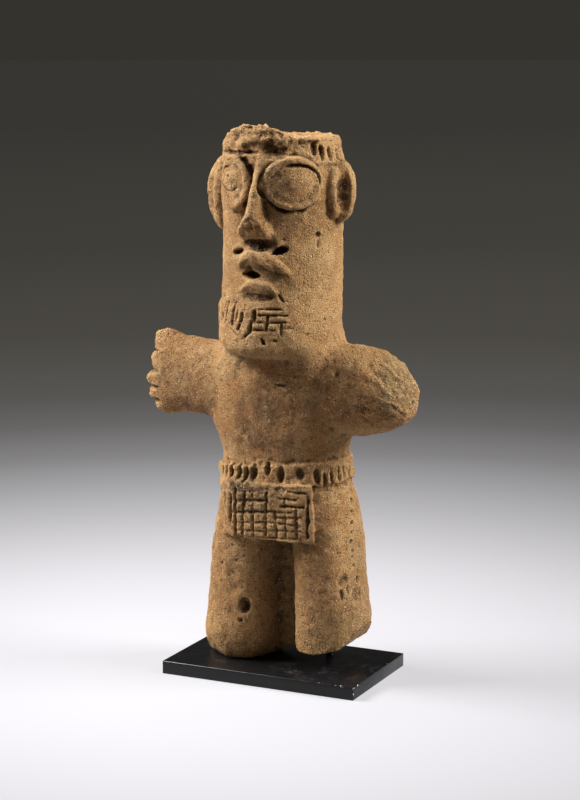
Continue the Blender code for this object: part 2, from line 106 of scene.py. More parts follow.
class Bench:
    """Everyday steps with Blender's operators."""

    @staticmethod
    def clear() -> None:
        """Leave edit mode and deselect everything."""
        if bpy.context.object and bpy.context.object.mode != "OBJECT":
            bpy.ops.object.mode_set(mode="OBJECT")
        bpy.ops.object.select_all(action="DESELECT")

    @staticmethod
    def take(body: bpy.types.Object) -> bpy.types.Object:
        """Select one object alone and make it active.

        Args:
            body: The object to work on.

        Returns:
            The same object.
        """
        Bench.clear()
        body.select_set(True)
        bpy.context.view_layer.objects.active = body
        return body

    @staticmethod
    def settle(body: bpy.types.Object) -> bpy.types.Object:
        """Write the object's place, turn and size into its mesh."""
        Bench.take(body)
        bpy.ops.object.transform_apply(location=True, rotation=True, scale=True)
        return body

    @staticmethod
    def apply(body: bpy.types.Object, kind: str, **settings: Any) -> None:
        """Add a modifier with its settings and apply it.

        Args:
            body: The object that gets the modifier.
            kind: Blender's name of the modifier's type.
            settings: Values of the modifier's properties.
        """
        Bench.take(body)
        modifier = body.modifiers.new(kind.title(), kind)
        for name, value in settings.items():
            setattr(modifier, name, value)
        bpy.ops.object.modifier_apply(modifier=modifier.name)

    @staticmethod
    def join(pieces: Sequence[bpy.types.Object], name: str) -> bpy.types.Object:
        """Join pieces into one object.

        Args:
            pieces: Objects whose meshes overlap.
            name: Name of the joined object.

        Returns:
            The joined object.
        """
        Bench.clear()
        for piece in pieces:
            piece.select_set(True)
        bpy.context.view_layer.objects.active = pieces[0]
        bpy.ops.object.join()
        body = bpy.context.object
        body.name = body.data.name = name
        return body


@dataclass
class Clay:
    """Rolls, slabs and pellets of clay, each a closed mesh, sized in 360ths."""

    facets: int = 48

    def between(self, rows: Sequence[Row], place: float) -> tuple[float, ...]:
        """Return the section at a place along a form, eased between its rows."""
        table = np.array(sorted(rows), float)
        return tuple(float(np.interp(place, table[:, 0], table[:, k])) for k in range(1, 5))

    def roll(
        self,
        rows: Sequence[Row],
        axis: Axis = Axis.UP,
        power: float = 2.0,
        steps: int = 24,
        grow: float = 0.0,
        ends: tuple[float, float] | None = None,
    ) -> bpy.types.Object:
        """Draw a form out of a disc, section by section.

        Args:
            rows: Sections as place, two middles and two half widths.
            axis: Whether the form stands or lies across.
            power: How square the sections are, 2 being an ellipse.
            steps: Number of sections drawn.
            grow: Added to every half width.
            ends: First and last place, if not the rows' own.

        Returns:
            The closed form.
        """
        low, high = ends or (min(rows)[0], max(rows)[0])
        places = np.linspace(low, high, steps)
        sections = [(float(p), *self.between(rows, float(p))) for p in places]
        bpy.ops.object.select_all(action="DESELECT")
        bpy.ops.mesh.primitive_circle_add(vertices=self.facets, radius=1, fill_type="NGON")
        body = bpy.context.object
        place, a, b, wide, deep = sections[0]
        for vertex in body.data.vertices:
            turn = math.atan2(vertex.co.y, vertex.co.x)
            one = math.copysign(abs(math.cos(turn)) ** (2 / power), math.cos(turn)) * (wide + grow)
            two = math.copysign(abs(math.sin(turn)) ** (2 / power), math.sin(turn)) * (deep + grow)
            vertex.co = self.lay(axis, place, a + one, b + two)
        bpy.ops.object.mode_set(mode="EDIT")
        bpy.ops.mesh.select_all(action="SELECT")
        for before, after in zip(sections, sections[1:]):
            step = [after[k] - before[k] for k in range(3)]
            wider, deeper = ((after[k] + grow) / (before[k] + grow) for k in (3, 4))
            bpy.ops.mesh.extrude_region_move(
                TRANSFORM_OT_translate={"value": self.lay(axis, step[0], step[1], step[2])}
            )
            size = (1, wider, deeper) if axis is Axis.ACROSS else (wider, deeper, 1)
            middle = self.lay(axis, after[0], after[1], after[2])
            bpy.ops.transform.resize(value=size, center_override=middle)
        bpy.ops.mesh.select_all(action="SELECT")
        bpy.ops.mesh.normals_make_consistent(inside=False)
        bpy.ops.object.mode_set(mode="OBJECT")
        return body

    @staticmethod
    def lay(axis: Axis, along: float, one: float, two: float) -> Point:
        """Return the point that lies along a form's axis and off it in its section."""
        return (along, one, two) if axis is Axis.ACROSS else (one, two, along)

    @staticmethod
    def pellet(middle: Point, radii: Point, turn: Point = (0, 0, 0)) -> bpy.types.Object:
        """Model an ellipsoid of clay, turned by degrees about X, Y and Z."""
        bpy.ops.object.select_all(action="DESELECT")
        bpy.ops.mesh.primitive_uv_sphere_add(
            segments=32,
            ring_count=16,
            radius=1,
            location=middle,
            rotation=[math.radians(a) for a in turn],
            scale=radii,
        )
        return Bench.settle(bpy.context.object)

    @staticmethod
    def coil(wide: float, tall: float, thick: float) -> bpy.types.Object:
        """Lay a coil of clay in an oval round the origin, facing forward."""
        bpy.ops.object.select_all(action="DESELECT")
        bpy.ops.mesh.primitive_torus_add(
            major_segments=64, minor_segments=16, major_radius=wide, minor_radius=thick
        )
        body = bpy.context.object
        body.data.transform(Matrix.Diagonal((1, tall / wide, 1, 1)))
        body.data.transform(Euler((math.radians(90), 0, 0)).to_matrix().to_4x4())
        return body

    @staticmethod
    def wrap(body: bpy.types.Object, turn: float, height: float, radius: float) -> bpy.types.Object:
        """Bend a piece that lies at the origin round an upright column.

        Args:
            body: The piece, its X running round the column and its -Y pointing outwards.
            turn: Where its middle comes, in degrees from the front.
            height: Height of its middle.
            radius: Radius of the column.

        Returns:
            The bent piece.
        """
        for vertex in body.data.vertices:
            across, inward, up = vertex.co
            angle = math.radians(turn) + across / radius
            out = radius - inward
            vertex.co = (out * math.sin(angle), -out * math.cos(angle), height + up)
        return body

    @staticmethod
    def trim(body: bpy.types.Object, planes: Iterable[Plane]) -> bpy.types.Object:
        """Slice a form off at planes and close each cut.

        Args:
            body: The form.
            planes: A point and an outward normal for each slice.

        Returns:
            The trimmed form.
        """
        Bench.take(body)
        bpy.ops.object.mode_set(mode="EDIT")
        for point, normal in planes:
            bpy.ops.mesh.select_all(action="SELECT")
            bpy.ops.mesh.bisect(plane_co=point, plane_no=normal, use_fill=True, clear_outer=True)
        bpy.ops.object.mode_set(mode="OBJECT")
        return body

    @staticmethod
    def fuse(pieces: Sequence[bpy.types.Object], name: str, voxel: float, strokes: int) -> bpy.types.Object:
        """Fuse overlapping pieces into one skin and smooth it as with a wet thumb.

        Args:
            pieces: Closed forms that overlap.
            name: Name of the fused body.
            voxel: Fineness of the new skin.
            strokes: How often it is smoothed.

        Returns:
            The fused body.
        """
        body = Bench.join(pieces, name)
        Bench.apply(body, "REMESH", mode="VOXEL", voxel_size=voxel, adaptivity=0.0)
        Bench.apply(body, "SMOOTH", factor=0.5, iterations=strokes)
        return body


@dataclass(frozen=True)
class Unevenness:
    """Smooth random unevenness in space, the same on each run."""

    seed: int
    cells: int = 32

    def at(self, points: Array, size: float) -> Array:
        """Return values between about -1 and 1.

        Args:
            points: Places, one to a row.
            size: Distance between a rise and a dip, in the points' unit.

        Returns:
            One value a place.
        """
        lattice = np.random.default_rng(self.seed).uniform(-1, 1, (self.cells,) * 3)
        aslant = np.array(Euler((0.65, 0.40, 0.89)).to_matrix())
        grid = points @ aslant / size + 1000.37
        low = np.floor(grid).astype(int)
        part = grid - low
        part = part * part * (3 - 2 * part)
        total = np.zeros(len(points))
        for corner in range(8):
            pick = np.array([(corner >> k) & 1 for k in range(3)])
            share = np.prod(np.where(pick, part, 1 - part), axis=1)
            index = (low + pick) % self.cells
            total += share * lattice[index[:, 0], index[:, 1], index[:, 2]]
        return total * 1.5

    def rough(self, points: Array, size: float, layers: int = 3) -> Array:
        """Return unevenness in layers, each half as large as the one before."""
        total = np.zeros(len(points))
        for layer in range(layers):
            share = 0.5**layer
            total += share * Unevenness(self.seed + layer, self.cells).at(points, size * share)
        return total / 1.5

    def fracture(self, points: Array, size: float) -> Array:
        """Return sharp ridges and hollows, like those of broken coarse clay."""
        ridges = 1 - 2 * np.abs(self.at(points, size))
        return 0.7 * ridges + 0.45 * Unevenness(self.seed + 7).rough(points, size * 0.6, 3)


class Skin:
    """The points of a clay surface, in 360ths over the plate's top, and what is done to them."""

    def __init__(self, body: bpy.types.Object) -> None:
        """Read the points and normals of an object's mesh."""
        self.body = body
        self.count = len(body.data.vertices)
        self.points = np.empty(0)
        self.normals = np.empty(0)
        self.depth = np.zeros(self.count)
        self.ragged = np.zeros(self.count)
        self.read()

    def read(self) -> None:
        """Read the mesh again, after its shape has changed."""
        mesh = self.body.data
        flat = np.empty(self.count * 3, np.float32)
        mesh.vertices.foreach_get("co", flat)
        self.points = flat.reshape(-1, 3).astype(float)
        mesh.vertex_normals.foreach_get("vector", flat)
        self.normals = flat.reshape(-1, 3).astype(float)
        self.depth[:] = 0
        self.ragged = Unevenness(51).rough(self.points, 3.4, 2)

    def write(self) -> None:
        """Sink the cuts made so far and write the points to the mesh."""
        self.points -= self.normals * self.depth[:, None]
        self.body.data.vertices.foreach_set("co", self.points.astype(np.float32).ravel())
        self.body.data.update()
        self.read()

    def swell(self, amount: Array) -> None:
        """Move each point out along its normal."""
        self.points += self.normals * amount[:, None]

    def sink(self, where: Array, near: Array, depth: float) -> None:
        """Deepen the cut to a share of a depth where a mask holds."""
        self.depth = np.maximum(self.depth, np.where(where, np.clip(near, 0, 1) * depth, 0))

    def ahead(self, low: float, high: float, lean: float = 0.1) -> Array:
        """Mask of the points that face forward between two heights."""
        z = self.points[:, 2]
        return (self.normals[:, 1] < -lean) & (self.points[:, 1] < 0) & (z > low) & (z < high)

    def stroke(self, start: Sequence[float], end: Sequence[float], width: float, depth: float) -> None:
        """Press a pointed stick along a line in the front view.

        Args:
            start: X and height where the stroke begins.
            end: X and height where it ends.
            width: Width at the surface.
            depth: Depth in the middle.
        """
        a, b = np.array(start, float), np.array(end, float)
        flat = self.points[:, [0, 2]]
        share = np.clip(((flat - a) @ (b - a)) / max((b - a) @ (b - a), 1e-9), 0, 1)
        gap = np.linalg.norm(flat - a - share[:, None] * (b - a), axis=1)
        ends = 0.75 + 0.25 * np.sin(math.pi * share)
        where = self.ahead(min(a[1], b[1]) - width, max(a[1], b[1]) + width)
        near = (1 - (2 * gap / (width * ends)) ** 2) + 0.45 * self.ragged
        self.sink(where & (gap < width), near, depth)

    def strokes(self, lines: Iterable[Stroke]) -> None:
        """Press one stroke after another."""
        for x, high, end, low, width, depth in lines:
            self.stroke((x, high), (end, low), width, depth)

    def hole(self, x: float, z: float, wide: float, tall: float, depth: float) -> None:
        """Push an oval hole into the front.

        Args:
            x: Middle in X.
            z: Middle height.
            wide: Half width.
            tall: Half height.
            depth: Depth in the middle.
        """
        far = ((self.points[:, 0] - x) / wide) ** 2 + ((self.points[:, 2] - z) / tall) ** 2
        where = self.ahead(z - tall, z + tall, 0.05)
        self.sink(where, (1 - far) * (1 + 0.4 * self.ragged), depth)

    def slot(self, x: float, z: float, wide: float, tall: float, tilt: float, depth: float) -> None:
        """Push a tilted slit with steep walls into the front.

        Args:
            x: Middle in X.
            z: Middle height.
            wide: Half length.
            tall: Half opening.
            tilt: How far its right end is lifted, in degrees.
            depth: Depth inside.
        """
        turn = math.radians(tilt)
        one, two = self.points[:, 0] - x, self.points[:, 2] - z
        along = one * math.cos(turn) + two * math.sin(turn)
        across = two * math.cos(turn) - one * math.sin(turn)
        far = (along / wide) ** 2 + (across / tall) ** 2
        self.sink(self.ahead(z - wide, z + wide, 0.05), (1 - far) * 2.0 + 0.3 * self.ragged, depth)

    def dent(self, middle: Point, radii: Point, depth: float, soft: float = 1.0) -> None:
        """Press a dent into whatever surface lies round a point, softer at its rim above 1."""
        gap = (self.points - np.array(middle, float)) / np.array(radii, float)
        far = (gap**2).sum(axis=1)
        self.sink(far < 1, np.clip(1 - far, 0, 1) ** soft * (1 + 0.3 * self.ragged), depth)

    def dents(self, places: Iterable[Dent]) -> None:
        """Press one dent after another."""
        for middle, radii, depth, soft in places:
            self.dent(middle, radii, depth, soft)

    def near(self, middle: Point, radii: Point) -> Array:
        """Return a soft mask that is 1 at a point and 0 beyond its radii."""
        gap = (self.points - np.array(middle, float)) / np.array(radii, float)
        return np.clip(1 - (gap**2).sum(axis=1), 0, 1)


@dataclass
class Trunk:
    """Body from the hips to the neck, with the two legs and the web of clay between them."""

    trunk: tuple[Row, ...] = (
        (88, 3.0, 4.0, 50.5, 29.0),
        (96, 3.0, 4.0, 50.0, 29.5),
        (108, 2.5, 3.5, 48.5, 29.5),
        (120, 1.5, 3.0, 45.5, 29.0),
        (134, 0.8, 2.5, 43.0, 28.5),
        (143, 1.0, 2.0, 43.0, 28.0),
        (152, 0.8, 1.0, 45.0, 28.5),
        (162, 0.0, 0.5, 49.0, 30.0),
        (190, 0.0, 0.0, 51.0, 32.0),
        (206, 0.0, 0.5, 48.0, 31.5),
        (218, 0.0, 1.0, 41.0, 30.0),
        (240, 0.0, 1.0, 35.0, 30.0),
    )
    near_leg: tuple[Row, ...] = (
        (0, -31.5, 1.0, 22.5, 19.0),
        (6, -32.0, 2.5, 24.5, 23.5),
        (24, -30.5, 3.5, 25.0, 26.5),
        (50, -28.0, 3.5, 23.5, 27.5),
        (80, -26.5, 3.5, 22.5, 28.0),
        (100, -24.0, 3.5, 21.5, 27.5),
    )
    far_leg: tuple[Row, ...] = (
        (0, 35.0, 3.0, 21.5, 24.0),
        (14, 35.5, 3.5, 22.5, 26.5),
        (34, 35.5, 3.5, 23.5, 27.0),
        (56, 33.5, 3.5, 21.5, 27.5),
        (80, 32.5, 3.5, 21.0, 28.0),
        (100, 30.0, 3.5, 20.5, 27.5),
    )
    groove: tuple[float, float] = (-11.0, 11.5)
    groove_flare: tuple[float, float] = (7.0, 14.0)
    groove_ease: float = 9.0
    groove_top: float = 98.0
    groove_fade: float = 12.0
    back_fade: float = 40.0
    back_depth: float = 7.0
    web: tuple[Point, Point] = ((5, 14, 45), (24, 12, 62))
    web_front: float = 1.0
    worn_corner: Plane = ((-47, -8, 0), (-0.63, -0.77, -0.6))
    trunk_power: float = 2.6
    leg_power: float = 2.7
    clearance: float = 0.3
    post_height: float = 11.2
    dents: tuple[Dent, ...] = (
        ((-18.5, -21.5, 39.5), (4.2, 9, 5.8), 8.0, 0.7),
        ((-21.6, -22.8, 28.8), (1.9, 4, 1.8), 2.6, 1.0),
        ((12.9, -31.5, 193.2), (5.4, 5, 1.3), 1.5, 1.5),
        ((23, -28, 199), (3.2, 5, 2.2), 0.8, 1.5),
        ((51.0, -15.6, 62.5), (7, 5.2, 5.6), 1.9, 1.6),
        ((54.5, -1.4, 61.2), (5, 2.6, 2.8), 2.4, 1.0),
        ((55.0, -4.0, 51.0), (7, 7.5, 6.5), 1.2, 1.5),
        ((50.3, -17.6, 54.0), (6, 1.5, 4.6), 1.5, 1.0),
        ((52.8, -12.6, 56.5), (6, 1.5, 3.8), 1.5, 1.0),
        ((54.2, -7.6, 52.4), (6, 1.5, 4.2), 1.5, 1.0),
        ((54.8, -4.2, 49.6), (6, 1.4, 3.4), 1.6, 1.0),
        ((55.8, 0.6, 51.6), (6, 1.4, 4.0), 1.6, 1.0),
        ((56.2, 4.4, 49.3), (6, 1.4, 3.6), 1.6, 1.0),
    )
    # X and height of each
    leg_pits: tuple[tuple[float, float], ...] = (
        (-18.0, 74.2),
        (-29.0, 59.8),
        (-23.5, 70.8),
        (-31.0, 78.0),
        (-34.5, 68.0),
        (-26.0, 81.0),
    )
    # X, Y, height and half size of each
    flank_holes: tuple[tuple[float, float, float, float], ...] = (
        (47.5, 6.4, 120.0, 1.5),
        (49.0, 2.6, 113.8, 1.7),
        (50.6, -1.0, 106.8, 1.5),
        (51.6, -3.2, 99.6, 1.9),
        (52.2, -4.6, 93.6, 1.3),
        (52.3, -5.2, 87.4, 1.7),
        (52.9, -4.5, 81.0, 1.5),
        (53.0, -5.9, 77.4, 1.4),
        (53.6, -4.7, 71.3, 1.6),
    )

    def forms(self, clay: Clay) -> list[bpy.types.Object]:
        """Roll the trunk and legs and set the web between the legs."""
        return [
            clay.roll(self.trunk, power=self.trunk_power),
            clay.trim(clay.roll(self.near_leg, power=self.leg_power), [self.worn_corner]),
            clay.roll(self.far_leg, power=self.leg_power),
            clay.pellet(*self.web),
        ]

    def press_groove(self, skin: Skin) -> None:
        """Press the groove between the legs, deep in front and shallow behind.

        Args:
            skin: Skin of the smoothed body, before anything is laid on it.
        """
        x, y, z = skin.points.T
        left, right = self.groove
        flare, flare_height = self.groove_flare
        left = left - flare * np.clip(1 - z / flare_height, 0, 1)
        gentle = np.clip((x - left) / self.groove_ease, 0, 1)
        steep = np.clip((right - x) / self.groove_ease * 2.5, 0, 1)
        press = gentle**2 * (3 - 2 * gentle) * steep * (2 - steep)
        fade = np.clip((self.groove_top - z) / self.groove_fade, 0, 1)
        inside = (y < self.web_front) & (z < self.groove_top)
        skin.points[:, 1] += np.where(inside, fade * press, 0) * (self.web_front - y)
        across = (x - sum(self.groove) / 2 - 2) / (self.groove[1] - self.groove[0]) * 2
        hollow = np.clip((self.groove_top - z) / self.back_fade, 0, 1) * np.clip(1 - across**2, 0, 1)
        skin.points[:, 1] -= np.where(y > 20, hollow, 0) * self.back_depth

    def wear_soles(self, skin: Skin) -> None:
        """Flatten the near sole on the plate and lift the worn far sole over the post.

        Args:
            skin: Skin of the finished figure.
        """
        x, _, z = skin.points.T
        chipped = 0.5 * Unevenness(61).rough(skin.points, 7, 3)
        near = self.clearance + 0.12 * np.clip(np.abs(x + 31) - 20, 0, 40)
        worn = 0.28 * np.clip(x - 33, 0, 60) + 1.2 * np.clip(x - 50, 0, 20)
        far = self.post_height + self.clearance + worn
        web = np.clip((x + 10) / 26, 0, 1)
        between = near * (1 - web) + far * web
        sole = np.where(x < -10, near, np.where(x > 16, far, between))
        sole += np.where(x > -10, np.clip(chipped, 0, 1), 0)
        skin.points[:, 2] = np.maximum(z, sole)

    def carve(self, skin: Skin) -> None:
        """Sink the chance pits of the legs and chest and the stabbed holes of the flank."""
        skin.dents(self.dents)
        for x, z in self.leg_pits:
            skin.dent((x, -24, z), (1.1, 5, 1.0), 1.3)
        for x, y, z, size in self.flank_holes:
            skin.dent((x, y, z), (5, size * 1.3, size), 1.5)


@dataclass
class Arms:
    """The arm that ends in stub fingers and the one broken to a stump."""

    height: float = 188.0
    hand: tuple[Row, ...] = (
        (-16, 0.0, 0.0, 24.0, 27.0),
        (-42, 1.0, -0.5, 26.0, 24.0),
        (-58, 1.5, -1.0, 26.0, 19.5),
        (-76, 3.5, -1.5, 26.5, 15.0),
        (-86, 4.5, -1.5, 26.5, 12.5),
        (-93, 4.5, -1.5, 25.0, 10.0),
    )
    stump: tuple[Row, ...] = (
        (16, -1.0, 0.0, 28.0, 28.0),
        (44, 0.0, -0.5, 30.5, 26.0),
        (60, 0.5, -0.5, 30.0, 23.5),
        (74, 1.0, -0.5, 27.5, 21.5),
        (85, 0.0, -0.5, 21.5, 18.0),
        (92, -2.0, -0.5, 14.5, 13.0),
        (96.5, -3.0, -0.5, 6.5, 6.0),
    )
    # Height, how far each reaches past the palm, and its half height
    fingers: tuple[tuple[float, float, float], ...] = (
        (213.5, 3.6, 8.0),
        (199.4, 5.8, 7.6),
        (186.5, 10.2, 7.2),
        (176.0, 7.8, 6.8),
        (168.0, 2.2, 6.4),
    )
    stump_breaks: tuple[Plane, ...] = (
        ((80, -16, 200), (0.45, -0.75, 0.48)),
        ((93, 0, 188), (0.95, -0.25, 0.15)),
    )
    hand_dents: tuple[Point, ...] = ((-101, -4, 190), (-97, -6, 205), (-99, -5, 178), (-95, -4, 215))
    hand_power: float = 2.3
    stump_power: float = 2.1

    def forms(self, clay: Clay) -> list[bpy.types.Object]:
        """Roll both arms and set the stub fingers on the palm's edge."""
        stump = self.arm(clay, self.stump, self.stump_power)
        pieces = [self.arm(clay, self.hand, self.hand_power), clay.trim(stump, self.stump_breaks)]
        for height, reach, half in self.fingers:
            tip = reach - min(self.hand)[0]
            pieces.append(clay.pellet((11 - tip, -1.5, height), (11, 8.5, half), (0, 0, 4)))
        return pieces

    def arm(self, clay: Clay, rows: Sequence[Row], power: float) -> bpy.types.Object:
        """Roll one arm at shoulder height from rows of reach, rise, middle, height and thickness."""
        level = [(reach, y, self.height + up, thick, tall) for reach, up, y, tall, thick in rows]
        return clay.roll(level, Axis.ACROSS, power, 20)

    def carve(self, skin: Skin) -> None:
        """Part the fingers and dent the hand's edge."""
        x, _, z = skin.points.T
        for upper, lower in zip(self.fingers, self.fingers[1:]):
            height = (upper[0] - upper[2] + lower[0] + lower[2]) / 2
            reach = np.clip((-86 - x) / 5, 0, 1)
            skin.sink(x < -86, (1 - ((z - height) / 1.9) ** 2) * reach, 1.5)
        for place in self.hand_dents:
            skin.dent(place, (3, 5, 2.4), 0.8)

    def fracture(self, skin: Skin) -> None:
        """Break the stump's end ragged and coarsen the fingertips.

        Args:
            skin: Skin of the fused figure.
        """
        x, y, z = skin.points.T
        end = np.clip((x - 62 + 0.22 * (190 - z)) / 9, 0, 1) * np.clip((z - 166) / 14, 0, 1)
        fibres = np.stack([x * 0.35, y, z + 0.6 * x], axis=1)
        ragged = 1.1 * Unevenness(11).rough(skin.points, 14, 3)
        ragged += 0.75 * Unevenness(12).rough(fibres, 3.2, 3)
        skin.swell(end * (ragged - 0.5))
        tips = np.clip((-88 - x) / 8, 0, 1)
        skin.swell(tips * 0.55 * Unevenness(14).rough(skin.points, 5, 3))


@dataclass
class Eye:
    """A disc eye bent round the head: a rim, a pad inside it and a low dome."""

    turn: float
    wide: float
    dome: Point
    dome_shift: tuple[float, float]
    tall: float = 18.0
    rim: float = 3.3
    radius: float = 41.0
    height: float = 325.0
    pad: tuple[Point, Point] | None = None
    scores: tuple[Score, ...] = ()

    def forms(self, clay: Clay) -> list[bpy.types.Object]:
        """Lay the rim, the pads inside it and the dome."""
        across, up = self.dome_shift
        inside = (self.wide - self.rim, 3.0, self.tall - self.rim)
        pieces = [
            clay.coil(self.wide - self.rim, self.tall - self.rim, self.rim),
            clay.pellet((0, 0, 0), inside),
            clay.pellet((across, 0, up), self.dome),
        ]
        if self.pad is not None:
            pieces.append(clay.pellet(*self.pad))
        return [clay.wrap(piece, self.turn, self.height, self.radius) for piece in pieces]

    def score(self, skin: Skin, line: Score) -> None:
        """Score a curved line into the disc or along its edge.

        Args:
            skin: Skin to cut.
            line: The line.
        """
        wide, tall, arc, width, depth, shift = line
        x, y, z = skin.points.T
        one = (np.arctan2(x, -y) - math.radians(self.turn)) * self.radius - shift[0]
        two = z - self.height - shift[1]
        round_way = np.hypot(one / wide, two / tall)
        away = np.abs(round_way - 1) * np.hypot(one, two) / np.maximum(round_way, 1e-6)
        turn = (np.degrees(np.arctan2(two / tall, one / wide)) - arc[0]) % 360
        span = arc[1] - arc[0]
        fade = np.clip(np.minimum(turn, span - turn) / 16, 0, 1)
        where = (turn < span) & (np.hypot(x, y) > self.radius - 5) & (y < 8)
        skin.sink(where, (1 - (2 * away / width) ** 2 + 0.3 * skin.ragged) * fade, depth)


@dataclass
class Head:
    """Cylindrical head with disc eyes, a broken nose, slit nostrils, lips, ears and scored beard."""

    rows: tuple[Row, ...] = (
        (211, 0.0, -2.0, 33.0, 36.0),
        (217, 0.0, -4.0, 38.5, 43.0),
        (236, 0.0, -4.5, 39.5, 43.5),
        (258, 0.0, -1.5, 39.5, 41.0),
        (290, 0.0, 0.0, 39.5, 39.5),
        (325, 0.0, 0.0, 41.0, 40.0),
        (338, 0.0, 0.0, 39.0, 39.0),
        (345, 0.0, 0.0, 36.5, 37.5),
        (365, -2.0, 0.0, 33.0, 35.0),
    )
    nose: tuple[Row, ...] = (
        (288, -1.0, -34.0, 9.5, 8.0),
        (292, -1.5, -34.0, 14.0, 16.0),
        (298, -1.0, -34.0, 11.5, 17.5),
        (304, -0.5, -34.0, 7.0, 17.5),
        (312, 0.5, -34.0, 5.4, 16.0),
        (322, 1.6, -34.0, 5.2, 13.5),
        (333, 2.6, -34.0, 5.2, 10.5),
        (345, 3.5, -34.0, 5.2, 6.0),
    )
    beard: tuple[Row, ...] = (
        (213, -3.0, -9.0, 27.0, 37.0),
        (219, -3.0, -9.0, 35.0, 40.5),
        (244, -3.0, -7.0, 36.5, 39.5),
        (250, -3.0, -6.0, 34.0, 36.0),
    )
    nose_break: Plane = ((0, -51, 304), (0, -0.88, -0.47))
    nose_power: float = 2.1
    lips: tuple[Pellet, ...] = (
        ((-0.5, -38, 274), (12, 5.5, 9.5), (30, 0, 0)),
        ((-8, -41, 275.5), (8, 3.6, 3.0), (0, -45, -16)),
        ((6.5, -42, 275.8), (9, 3.6, 3.0), (0, 42, 12)),
        ((13.5, -37.5, 273.5), (11, 5, 3.2), (0, 40, 18)),
        ((1.5, -39.5, 256.5), (13, 5.0, 7.5), (38, 0, 0)),
        ((-5.5, -41.5, 259.0), (8.5, 4.0, 2.8), (0, -28, -14)),
        ((7.5, -41.0, 258.5), (9.5, 4.0, 2.8), (0, 26, 14)),
    )
    ear_roots: tuple[Pellet, ...] = (
        ((40, -8, 318), (5.5, 7.0, 17), (0, 0, 0)),
        ((-42, -7, 313), (6, 6.5, 21), (0, 0, 0)),
    )
    # Side, height of the middle, length, and how far each reaches from the head's axis
    ears: tuple[tuple[Side, float, float, float], ...] = (
        (Side.LEFT, 314.5, 51.0, 54.0),
        (Side.RIGHT, 319.0, 42.0, 52.5),
    )
    eyes: tuple[Eye, Eye] = (
        Eye(
            turn=-23.5,
            wide=14.4,
            dome=(6.6, 4.4, 5.8),
            dome_shift=(-3.2, 1.8),
            scores=(
                (14.8, 18.2, (-65, 75), 2.4, 3.0, (0.0, 0.0)),
                (14.8, 18.2, (190, 250), 2.2, 1.6, (0.0, 0.0)),
                (8.6, 7.8, (90, 330), 1.6, 0.7, (-3.0, 1.8)),
            ),
        ),
        Eye(
            turn=34.3,
            wide=20.3,
            dome=(13.5, 4.4, 9.5),
            dome_shift=(1.4, 0.6),
            pad=((-3.5, 0, -3.0), (15, 3.5, 11.5)),
            scores=(
                (15.5, 11.0, (-14, 118), 2.4, 2.2, (1.5, 0.5)),
                (20.6, 18.4, (150, 300), 2.6, 3.0, (0.0, 0.0)),
                (20.6, 18.4, (300, 510), 2.2, 0.8, (0.0, 0.0)),
            ),
        ),
    )
    slots: tuple[Slot, ...] = (
        (-14.6, 280.2, 4.9, 2.1, 18, 8.0),
        (15.4, 282.0, 5.4, 2.4, 18, 8.5),
        (-3.6, 265.9, 7.2, 2.4, 0, 8.0),
    )
    holes: tuple[Hole, ...] = (
        (2.0, 285.8, 12.0, 4.0, 2.4),
        (4.6, 285.0, 5.8, 3.8, 3.8),
        (1.5, 251.6, 12.5, 3.2, 1.5),
        (-4.8, 268.9, 2.8, 3.4, 6.0),
        (14.5, 224.5, 1.6, 1.4, 1.3),
    )
    dents: tuple[Dent, ...] = (
        ((-21.2, -42, 328.8), (1.6, 6, 1.4), 1.8, 1.0),
        ((-20.6, -39.7, 339.2), (3.2, 4, 0.9), 0.9, 1.0),
        ((-41.7, -7.3, 304.6), (2.4, 2.2, 2.0), 2.0, 1.0),
        ((34.0, -20.0, 291.5), (1.9, 3.0, 2.4), 2.0, 1.0),
        ((34.3, -19.9, 285.6), (1.5, 2.2, 4.4), 1.2, 1.0),
        ((37.5, -17.1, 236.3), (1.7, 2.4, 2.0), 1.7, 1.0),
        ((40.0, -12.5, 310.0), (2.2, 2.4, 6.5), 1.0, 1.0),
    )
    beard_strokes: tuple[Stroke, ...] = (
        (1.2, 243.2, 1.3, 237.7, 3.4, 2.8),
        (-7.3, 241.6, -8.1, 236.2, 3.0, 2.6),
        (-8.7, 234.2, -10.5, 230.6, 2.6, 2.0),
        (-0.4, 236.2, -1.2, 229.8, 2.8, 2.2),
        (-1.2, 229.8, -4.3, 227.0, 2.4, 1.8),
        (10.0, 240.5, 9.4, 231.1, 3.4, 2.8),
        (18.4, 234.9, 18.3, 228.9, 2.4, 1.6),
        (15.9, 253.5, 18.7, 249.5, 2.0, 1.4),
        (-20.4, 247.4, -22.6, 233.4, 2.3, 1.8),
        (-14.0, 247.8, -15.4, 233.8, 2.4, 1.9),
        (-11.0, 243.6, -12.6, 236.0, 1.8, 1.2),
        (-26.4, 245.0, -26.0, 232.6, 2.1, 1.5),
        (-31.2, 243.0, -30.4, 232.0, 2.0, 1.2),
        (6.6, 225.4, 8.6, 222.4, 2.6, 2.2),
        (3.6, 244.6, 18.3, 244.6, 1.9, 1.3),
        (4.3, 240.7, 21.2, 240.7, 2.0, 1.5),
        (0.9, 236.1, 21.0, 236.4, 2.0, 1.4),
        (0.9, 231.2, 14.9, 231.3, 2.0, 1.3),
        (19.2, 232.8, 24.8, 232.6, 1.7, 1.0),
        (-24.0, 243.6, -17.0, 239.4, 1.5, 0.6),
        (-22.0, 236.0, -15.0, 232.0, 1.5, 0.6),
        (-17.0, 230.6, -9.0, 226.8, 1.6, 0.7),
    )

    def core(self, clay: Clay) -> list[bpy.types.Object]:
        """Roll the head's column."""
        return [clay.roll(self.rows, steps=40)]

